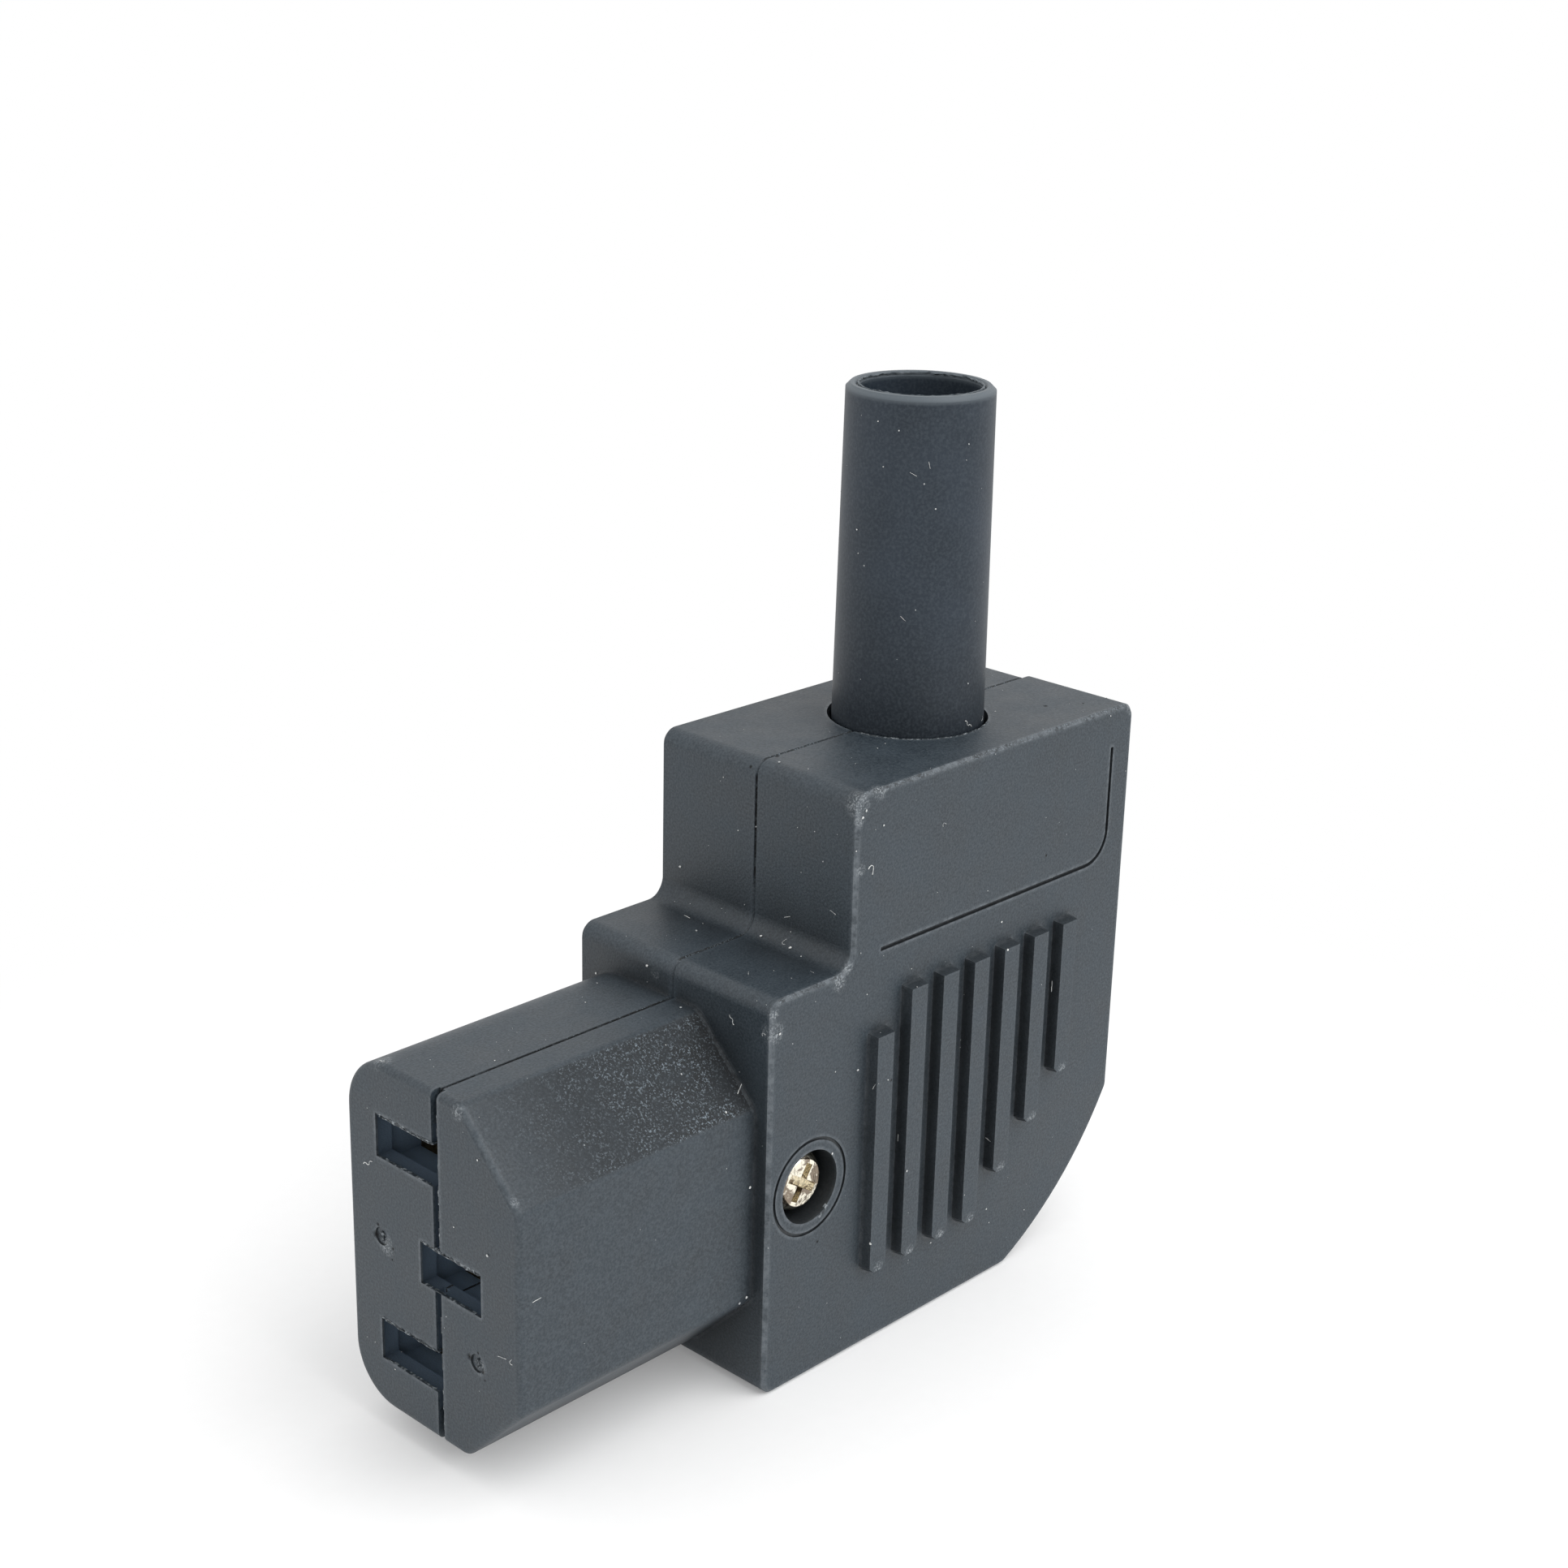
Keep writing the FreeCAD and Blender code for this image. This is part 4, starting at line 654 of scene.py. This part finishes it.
# %% [markdown]
# ## Dressing the solids
# Each solid keeps its exact shape and only receives a finish in its material
# slot.

# %% Give each solid its finish
def finish_for(name):
    """The finish of a solid, from its plain name."""
    if name == "cable_sleeve":
        return sleeve_rubber
    if name == "casing_screw":
        return bright_nickel
    if name.endswith("_shell") or name == "cord_clamp":
        return shell_nylon
    if name.endswith("_contact") or name.endswith("_terminal_nut"):
        return rolled_brass
    return zinc_plate


for name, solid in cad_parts.items():
    solid.data.materials.clear()
    solid.data.materials.append(finish_for(name))
print("dressed:", len(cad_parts))

# %% [markdown]
# ## Working on small pieces
# The rest of the lesson models what only shows close up: torn plastic along
# the parting lines, the stubs of the gates, lint and dust. All of them start
# as a primitive, are shaped in edit mode, and end the same way: their place
# goes into the mesh, their faces point outwards, and they ride on the
# connector. These helpers hold what they share.

# %% Start and finish a piece
def into_edit():
    """Edit mode with all of the new primitive selected."""
    bpy.ops.object.mode_set(mode="EDIT")
    bpy.ops.mesh.select_all(action="SELECT")


def finish_piece(name, finish, smooth=40):
    """Close the work on the active piece: place, normals, shading, finish and frame."""
    if bpy.context.mode != "OBJECT":
        bpy.ops.object.mode_set(mode="OBJECT")
    piece = bpy.context.object
    piece.name = name
    bpy.ops.object.transform_apply(location=True, rotation=True, scale=True)
    into_edit()
    bpy.ops.mesh.normals_make_consistent(inside=False)
    bpy.ops.object.mode_set(mode="OBJECT")
    bpy.ops.object.shade_smooth_by_angle(angle=math.radians(smooth))
    piece.data.materials.clear()
    piece.data.materials.append(finish)
    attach(piece, "root")
    bpy.ops.object.select_all(action="DESELECT")
    print(name, "faces:", len(piece.data.polygons))
    return piece


# %% Torn plastic
# Where the tool's halves meet, the melt creeps out as flash. It is thinner
# than paper, so light gets into it, and that light is painted into its colour
# as patches paler than the wall.
flash_nylon, tree, surface, place = new_finish("nylon_flash_thin")
torn = add_node(tree, "TexNoise", {"Vector": place, "Scale": 1 / (0.25 * MM), "Detail": 3.0})
# The pale tones are painted light that passes through the thin flash.
tone = add_node(tree, "ValToRGB", {"Fac": torn.outputs["Fac"]})
tone.color_ramp.elements[0].position, tone.color_ramp.elements[0].color = 0.5, linear("#262e34")
tone.color_ramp.elements[1].position, tone.color_ramp.elements[1].color = 0.66, linear("#8b9297")
tree.links.new(tone.outputs["Color"], surface.inputs["Base Color"])
surface.inputs["Roughness"].default_value = 0.5
print("finish:", flash_nylon.name)


# %% A ragged strip of flash
def ragged_strip(low, high, cuts, tear, seed):
    """A thin bar between two corners in mm, cut across its length and torn."""
    low, high = Vector(low) * MM, Vector(high) * MM
    sides = high - low
    long_axis = max(range(3), key=lambda axis: sides[axis])
    bpy.ops.mesh.primitive_cube_add(size=1, location=(low + high) / 2, scale=sides)
    bpy.ops.object.transform_apply(location=True, rotation=True, scale=True)
    bpy.ops.object.mode_set(mode="EDIT")
    bpy.ops.mesh.select_mode(type="EDGE")
    bpy.ops.mesh.select_all(action="DESELECT")
    shape = bmesh.from_edit_mesh(bpy.context.object.data)
    for side in shape.edges:
        across = side.verts[1].co - side.verts[0].co
        side.select_set(abs(across[long_axis]) > 0.9 * sides[long_axis])
    bmesh.update_edit_mesh(bpy.context.object.data)
    bpy.ops.mesh.subdivide(number_cuts=cuts)
    bpy.ops.mesh.select_mode(type="VERT")
    bpy.ops.mesh.select_all(action="SELECT")
    bpy.ops.transform.vertex_random(offset=tear * MM, seed=seed)
    bpy.ops.object.mode_set(mode="OBJECT")
    return bpy.context.object


def join_pieces(pieces):
    """Several meshes as one piece, the last of them active."""
    bpy.ops.object.select_all(action="DESELECT")
    for piece in pieces:
        piece.select_set(True)
    bpy.context.view_layer.objects.active = pieces[-1]
    bpy.ops.object.join()
    return bpy.context.object


# %% [markdown]
# ## Flash at the slots
# Each slot is punched clean by a core in the tool, but slivers of flash stay
# along its upper edge, where one hangs a little into the opening, and along
# its lower edge. A long thin bar, cut into short lengths and shaken, makes
# such a sliver.

# %% Slivers on the three slots
SLOT_SPANS = {  # both ends in y and the middle's z, in mm
    "line": (0.35, 5.95, 20.45), "neutral": (0.35, 5.95, 6.45), "earth": (-3.65, 1.95, 13.45)}
SLOT_HALF = 1.45

for order, (name, (start, end, middle)) in enumerate(SLOT_SPANS.items()):
    top, bottom = middle + SLOT_HALF, middle - SLOT_HALF
    hanging = ragged_strip(
        (FACE + 0.01, start + 0.25, top - 0.17), (FACE + 0.10, end - 0.35, top - 0.10),
        cuts=13, tear=0.07, seed=order + 3)
    lip = ragged_strip(
        (FACE - 0.01, start + 0.02, top - 0.06), (FACE + 0.20, end - 0.02, top + 0.03),
        cuts=26, tear=0.08, seed=order + 13)
    foot = ragged_strip(
        (FACE + 0.02, start + 0.6, bottom - 0.03), (FACE + 0.20, end - 0.3, bottom + 0.03),
        cuts=20, tear=0.04, seed=order + 23)
    join_pieces([hanging, lip, foot])
    finish_piece(name + "_slot_flash", flash_nylon)

# %% [markdown]
# ## Flash along the seam of the face
# The two shells leave a dark gap down the mating face. The front shell's side
# of it is torn in places, from the knife that trimmed it. Short strips of
# uneven length stand on the gap's edge.

# %% Torn edge of the seam
SEAM_FOOT, SEAM_HEAD = 2.6, 23.6
EARTH_FOOT, EARTH_HEAD = 10.4, 15.0  # the earth slot interrupts the seam here

rng = random.Random(41)
strips = []
height = SEAM_FOOT
while height < SEAM_HEAD:
    length = rng.uniform(0.5, 1.6)
    if EARTH_FOOT < height < EARTH_HEAD:
        height = EARTH_HEAD
    reach = rng.uniform(0.05, 0.12)
    strips.append(ragged_strip(
        (FACE + 0.02, 0.03, height), (FACE + 0.09, 0.05 + reach, height + length),
        cuts=8, tear=0.035, seed=int(height * 10)))
    height += length + rng.uniform(0.2, 1.8)
join_pieces(strips)
finish_piece("face_seam_flash", flash_nylon)

# %% [markdown]
# ## Stubs of the gates
# The melt enters each shell through a small gate in a round hollow on the
# face. When the shell leaves the tool the gate tears off and leaves a stub.
# An icosphere, flattened and shaken, gives its torn shape.

# %% Two torn stubs
STUB_RADIUS, STUB_DEPTH = 0.24 * MM, 0.12 * MM

for name, y, z, seed in (("rear", 5.7, 13.6, 5), ("front", -3.2, 8.75, 9)):
    middle = (FACE * MM + STUB_DEPTH, y * MM, z * MM)
    bpy.ops.mesh.primitive_ico_sphere_add(subdivisions=3, radius=STUB_RADIUS, location=middle)
    into_edit()
    bpy.ops.transform.resize(value=(0.5, 0.8, 1.4), center_override=middle)
    bpy.ops.transform.vertex_random(offset=0.12 * MM, seed=seed)
    bpy.ops.object.mode_set(mode="OBJECT")
    finish_piece(name + "_gate_stub", flash_nylon, smooth=25)

# %% [markdown]
# ## Torn rings
# The sleeve's hole has a thin wall of flash that stands round its front, and
# the sleeve's own mouth has a ragged inner lip. A slim torus gives each ring.
# The part that doesn't show flash is deleted, the ends are closed, and the
# rest is shaken.

# %% Rings at the sleeve
SLEEVE_X, SLEEVE_Y = 13.6, 0.4


def torn_ring(name, radius, height, thickness, finish, tear, seed, keep=None):
    """A slim torus round the sleeve's axis, kept over a range of headings and torn."""
    centre = Vector((SLEEVE_X, SLEEVE_Y, height)) * MM
    bpy.ops.mesh.primitive_torus_add(
        major_segments=120, minor_segments=6, major_radius=radius * MM,
        minor_radius=thickness * MM, location=centre)
    bpy.ops.object.transform_apply(location=True, rotation=True, scale=True)
    bpy.ops.object.mode_set(mode="EDIT")
    bpy.ops.mesh.select_mode(type="FACE")
    bpy.ops.mesh.select_all(action="DESELECT")
    if keep:
        shape = bmesh.from_edit_mesh(bpy.context.object.data)
        for face in shape.faces:
            middle = face.calc_center_median() - centre
            heading = math.degrees(math.atan2(middle.y, middle.x)) % 360
            face.select_set(not keep[0] < heading < keep[1])
        bmesh.update_edit_mesh(bpy.context.object.data)
        bpy.ops.mesh.delete(type="FACE")
        bpy.ops.mesh.select_all(action="SELECT")
        bpy.ops.mesh.fill_holes(sides=8)
    bpy.ops.mesh.select_mode(type="VERT")
    bpy.ops.mesh.select_all(action="SELECT")
    bpy.ops.transform.vertex_random(offset=tear * MM, seed=seed)
    bpy.ops.object.mode_set(mode="OBJECT")
    return finish_piece(name, finish, smooth=50)


torn_ring("hole_edge_flash", 5.42, 39.30, 0.055, flash_nylon,
          tear=0.06, seed=7, keep=(185, 300))
torn_ring("sleeve_mouth_lip", 4.03, 61.48, 0.07, sleeve_rubber,
          tear=0.07, seed=11)

# %% [markdown]
# ## A burr in the screw's well
# A screwdriver slipped once and raised a small flake at the lower right edge
# of the well.

# %% The burr
BURR = Vector((-2.85, -8.25, 11.56)) * MM

flake = ragged_strip((-3.35, -8.33, 11.45), (-2.35, -8.18, 11.68), cuts=9, tear=0.07, seed=31)
bpy.context.view_layer.objects.active = flake
flake.select_set(True)
into_edit()
bpy.ops.transform.rotate(value=math.radians(38), orient_axis="Y", center_override=BURR)
bpy.ops.object.mode_set(mode="OBJECT")
finish_piece("well_burr", flash_nylon)

# %% [markdown]
# ## Lint
# A black surface that has been handled carries pale fibres of cloth. Most are
# half a millimetre to a millimetre long, thinner than a hair of the head, and
# some curl. One fibre is drawn out of a small five-sided disc: it is extruded a
# short step, turned, and extruded again. Three such shapes are modelled once
# and then copied, each copy turned to lie on the surface that carries it.

# %% Pale cloth fibre
cloth_fibre, tree, surface, place = new_finish("cotton_lint_pale")
shade = add_node(tree, "TexNoise", {"Vector": place, "Scale": 1 / (0.4 * MM), "Detail": 1.0})
tone = add_node(tree, "ValToRGB", {"Fac": shade.outputs["Fac"]})
tone.color_ramp.elements[0].position, tone.color_ramp.elements[0].color = 0.35, linear("#9ca0a2")
tone.color_ramp.elements[1].position, tone.color_ramp.elements[1].color = 0.65, linear("#e2e3e1")
tree.links.new(tone.outputs["Color"], surface.inputs["Base Color"])
surface.inputs["Roughness"].default_value = 0.8
print("finish:", cloth_fibre.name)


# %% Draw one fibre
FIBRE_RADIUS = 0.028 * MM


def draw_fibre(name, turns):
    """A fibre one millimetre long that lies along +X and bends by the given turns."""
    bpy.ops.mesh.primitive_circle_add(
        vertices=5, radius=FIBRE_RADIUS, fill_type="NGON", location=(0, 0, 0))
    into_edit()
    bpy.ops.transform.rotate(value=math.pi / 2, orient_axis="Y", center_override=(0, 0, 0))
    here, heading = Vector((0, 0, 0)), -sum(turns) / 2
    bpy.ops.transform.rotate(value=-heading, orient_axis="Z", center_override=here)
    for turn in turns + [0.0]:
        step = Vector((math.cos(heading), math.sin(heading), 0)) * MM / (len(turns) + 1)
        bpy.ops.mesh.extrude_region_move(TRANSFORM_OT_translate={"value": step})
        here = here + step
        heading += turn
        bpy.ops.transform.rotate(value=-turn, orient_axis="Z", center_override=here)
    bpy.ops.mesh.select_all(action="SELECT")
    bpy.ops.mesh.normals_make_consistent(inside=False)
    bpy.ops.transform.translate(value=-here / 2)
    bpy.ops.object.mode_set(mode="OBJECT")
    fibre = bpy.context.object
    fibre.name = name
    return fibre


straight = draw_fibre("fibre_straight", [0.10, -0.15, 0.12, 0.05])
hook = draw_fibre("fibre_hook", [0.1, 0.2, 0.9, 0.9, 0.5])
squiggle = draw_fibre("fibre_squiggle", [0.7, 0.6, -0.9, -0.9, 0.5, 0.8])
print("fibres drawn:", straight.name, hook.name, squiggle.name)

# %% [markdown]
# ## Finding the surface
# Lint and dust must lie on what carries them, seen from any side. Blender can
# say which point of a mesh is nearest to a given one and which way the surface
# faces there, so a rough place in millimetres is enough.

# %% Nearest skin
CARRIERS = [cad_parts[name] for name in ("front_shell", "rear_shell", "cable_sleeve")]


def nearest_skin(point):
    """The nearest point of the three outer solids, and the way the surface faces."""
    hits = [carrier.closest_point_on_mesh(point) for carrier in CARRIERS]
    nearest = min(hits, key=lambda hit: (hit[1] - point).length)
    return nearest[1], nearest[2]


def lay_copy(model, spot, normal, towards, scale, lift):
    """A copy of a small model, laid on the surface with its X along a direction."""
    side = normal.cross(towards)
    if side.length < 0.1:  # the direction runs along the normal, so another one serves
        side = normal.cross(Vector((0.3, 0.5, 0.8)))
    side.normalize()
    ahead = side.cross(normal).normalized()
    frame_of_spot = Matrix((ahead, side, normal)).transposed().to_4x4()
    copy = model.copy()
    copy.data = model.data.copy()
    bpy.context.collection.objects.link(copy)
    resting = Matrix.Translation(spot + normal * lift) @ frame_of_spot
    copy.data.transform(resting @ Matrix.Scale(scale, 4))
    return copy


print("carriers:", [carrier.name for carrier in CARRIERS])

# %% Lay the fibres
FIBRES = [  # shape, place in mm, direction, length in mm
    (straight, (-8.3, -6.0, 21.3), (-0.8, -0.4, -0.4), 0.85),
    (hook, (-1.2, -2.9, 28.1), (-0.6, -0.6, -0.5), 0.70),
    (hook, (0.5, -8.3, 34.0), (-0.9, 0.0, 0.5), 1.10),
    (squiggle, (FACE, 6.8, 18.2), (0.0, 0.9, -0.5), 1.15),
    (straight, (1.0, -8.9, 19.3), (-0.1, 0.4, -0.9), 0.45),
    (squiggle, (13.8, -4.7, 39.8), (-0.8, 0.0, 0.6), 1.00),
    (straight, (-0.8, -2.6, 29.6), (0.0, 0.9, -0.4), 0.55),
    (squiggle, (-8.0, -4.9, 25.5), (0.0, -0.6, -0.8), 0.80),
    (straight, (FACE, -5.5, 10.2), (0.0, 1.0, -0.2), 0.75),
    (hook, (FACE, -6.4, 10.3), (0.0, -0.5, -0.9), 0.60),
    (straight, (-0.8, -6.5, 31.1), (0.0, 1.0, 0.3), 0.50),
    (straight, (-25.9, -7.1, 14.2), (-1.0, 0.0, -0.1), 0.65),
    (hook, (7.5, -8.3, 35.3), (-0.8, 0.0, -0.6), 0.55),
    (straight, (-2.3, 5.0, 27.7), (0.1, 1.0, 0.0), 0.60),
    (straight, (4.0, -8.5, 14.4), (0.0, 0.0, -1.0), 0.50),
    (hook, (-8.0, -7.7, 25.4), (0.0, 0.6, -0.8), 0.50),
    (straight, (13.4, -8.6, 10.9), (-0.1, 0.9, 0.4), 0.45),
    (straight, (-5.8, -4.1, 27.7), (-0.7, -0.7, 0.0), 0.40),
    (straight, (-2.8, -6.7, 27.7), (0.1, 1.0, 0.0), 0.35),
    (straight, (19.65, -8.5, 20.4), (-0.1, 0.0, 1.0), 0.80),
    (straight, (10.4, -3.3, 57.3), (0.3, 0.0, -0.9), 0.45),
    (straight, (9.7, -2.6, 56.7), (0.6, -0.6, -0.4), 0.50),
    (straight, (9.5, -2.4, 47.3), (0.5, -0.5, -0.6), 0.45),
    (hook, (15.8, -4.2, 39.6), (0.2, 0.4, 0.9), 0.60),
    (squiggle, (-26.77, 5.64, 25.2), (0.0, 1.0, 0.0), 0.60),
]

FIBRE_LIFT = 0.02 * MM

laid = []
for shape, point, towards, length in FIBRES:
    spot, normal = nearest_skin(Vector(point) * MM)
    laid.append(lay_copy(shape, spot, normal, Vector(towards), length, FIBRE_LIFT))
join_pieces(laid)
finish_piece("lint_fibres", cloth_fibre, smooth=60)
for shape in (straight, hook, squiggle):
    bpy.data.objects.remove(shape)

# %% [markdown]
# ## Dust
# Dust is lint's smaller sister: grains of a tenth to a fifth of a millimetre.
# The ones that catch the eye are listed one by one. The rest fall by chance, from
# a fixed seed, so that every run gives the same grains: a ray is sent in from
# a random side and the grain lands where it first meets a surface. Those on
# the tip, the ribbed side and the tops stay.

# %% One grain, and the grains that catch the eye
GRAINS = [  # place in mm, width in mm
    ((-0.8, 7.2, 30.2), 0.22), ((-9.1, -7.1, 6.9), 0.20), ((-8.5, -7.1, 7.1), 0.22),
    ((FACE, -4.35, 16.5), 0.22), ((-1.4, -3.5, 27.9), 0.24), ((1.0, -9.1, 8.0), 0.22),
    ((4.3, -9.1, 12.1), 0.20), ((-8.4, -7.1, 14.9), 0.22), ((-0.4, -8.3, 37.8), 0.22),
    ((-8.0, 2.7, 26.7), 0.22), ((-1.4, -0.9, 27.9), 0.20), ((-8.7, -1.1, 25.2), 0.20),
    ((0.1, -0.7, 39.3), 0.20), ((13.7, -9.1, 25.1), 0.20), ((-3.5, 2.9, 27.7), 0.20),
    ((-11.8, -4.4, 22.9), 0.16), ((-10.2, -6.7, 20.6), 0.18), ((FACE, -3.6, 22.4), 0.16),
    ((1.6, -8.3, 36.8), 0.16), ((13.9, -8.3, 26.8), 0.16), ((-7.3, -8.3, 25.5), 0.20),
    ((-8.0, 7.5, 24.6), 0.20), ((0.0, -8.3, 20.6), 0.20), ((-0.1, -8.3, 38.2), 0.20),
    ((-2.17, -8.3, 15.45), 0.18), ((12.8, -4.4, 58.5), 0.18), ((9.2, -1.7, 59.4), 0.16),
    ((8.9, -0.8, 57.0), 0.16), ((10.2, -3.1, 56.1), 0.20), ((10.8, -3.6, 54.5), 0.18),
    ((8.7, 1.1, 52.6), 0.20), ((8.6, 0.3, 50.4), 0.20), ((13.6, -4.7, 42.6), 0.18),
    ((10.0, -3.0, 47.9), 0.16), ((8.1, -8.3, 4.9), 0.16), ((14.0, -8.3, 5.2), 0.16),
]

bpy.ops.mesh.primitive_ico_sphere_add(subdivisions=1, radius=0.5 * MM, location=(0, 0, 0))
into_edit()
bpy.ops.transform.resize(value=(1.0, 0.75, 0.45), center_override=(0, 0, 0))
bpy.ops.transform.vertex_random(offset=0.12 * MM, seed=2)
bpy.ops.object.mode_set(mode="OBJECT")
grain_model = bpy.context.object
grain_model.name = "grain_model"

BLOCK_TOP = 39.5
ON_SLEEVE = 0.7  # the sleeve's grains are smaller
RAISED = 0.2  # a grain's middle lies this share of its width above the surface

rng = random.Random(7)
dust = []
for point, width in GRAINS:
    spot, normal = nearest_skin(Vector(point) * MM)
    width *= ON_SLEEVE if point[2] > BLOCK_TOP else 1.0
    towards = Vector((rng.uniform(-1, 1), rng.uniform(-1, 1), rng.uniform(-1, 1)))
    dust.append(lay_copy(grain_model, spot, normal, towards, width, RAISED * width * MM))
print("grains placed by hand:", len(dust))

# %% Grains that fall by chance
THROWS = 320  # with those listed
FAR_OUT = 0.2  # metres from the connector, where each ray starts
FACING = 0.4

low, high = (Vector(corner) for corner in solid_box)
landed = len(dust)
while landed < THROWS:
    inside = Vector([rng.uniform(low[axis], high[axis]) for axis in range(3)])
    heading, rise = rng.uniform(0, 2 * math.pi), rng.uniform(-0.1, 0.9)
    outward = Vector((math.cos(heading), math.sin(heading), rise)).normalized()
    start = inside + outward * FAR_OUT
    rays = [carrier.ray_cast(start, -outward) for carrier in CARRIERS]
    hits = [ray for ray in rays if ray[0]]
    if not hits:
        continue
    _, spot, normal, _ = min(hits, key=lambda hit: (hit[1] - start).length)
    width = rng.choice((0.05, 0.06, 0.06, 0.08, 0.11))
    towards = Vector((rng.uniform(-1, 1), rng.uniform(-1, 1), rng.uniform(-1, 1)))
    landed += 1
    # Dust lies on the tip, the ribbed side and the tops. The other sides stay plain.
    if normal.x > -FACING and normal.y > -FACING and normal.z < FACING:
        continue
    dust.append(lay_copy(grain_model, spot, normal, towards, width, RAISED * width * MM))
print("grains in all:", len(dust))
join_pieces(dust)
finish_piece("dust_grains", cloth_fibre, smooth=30)
bpy.data.objects.remove(grain_model)
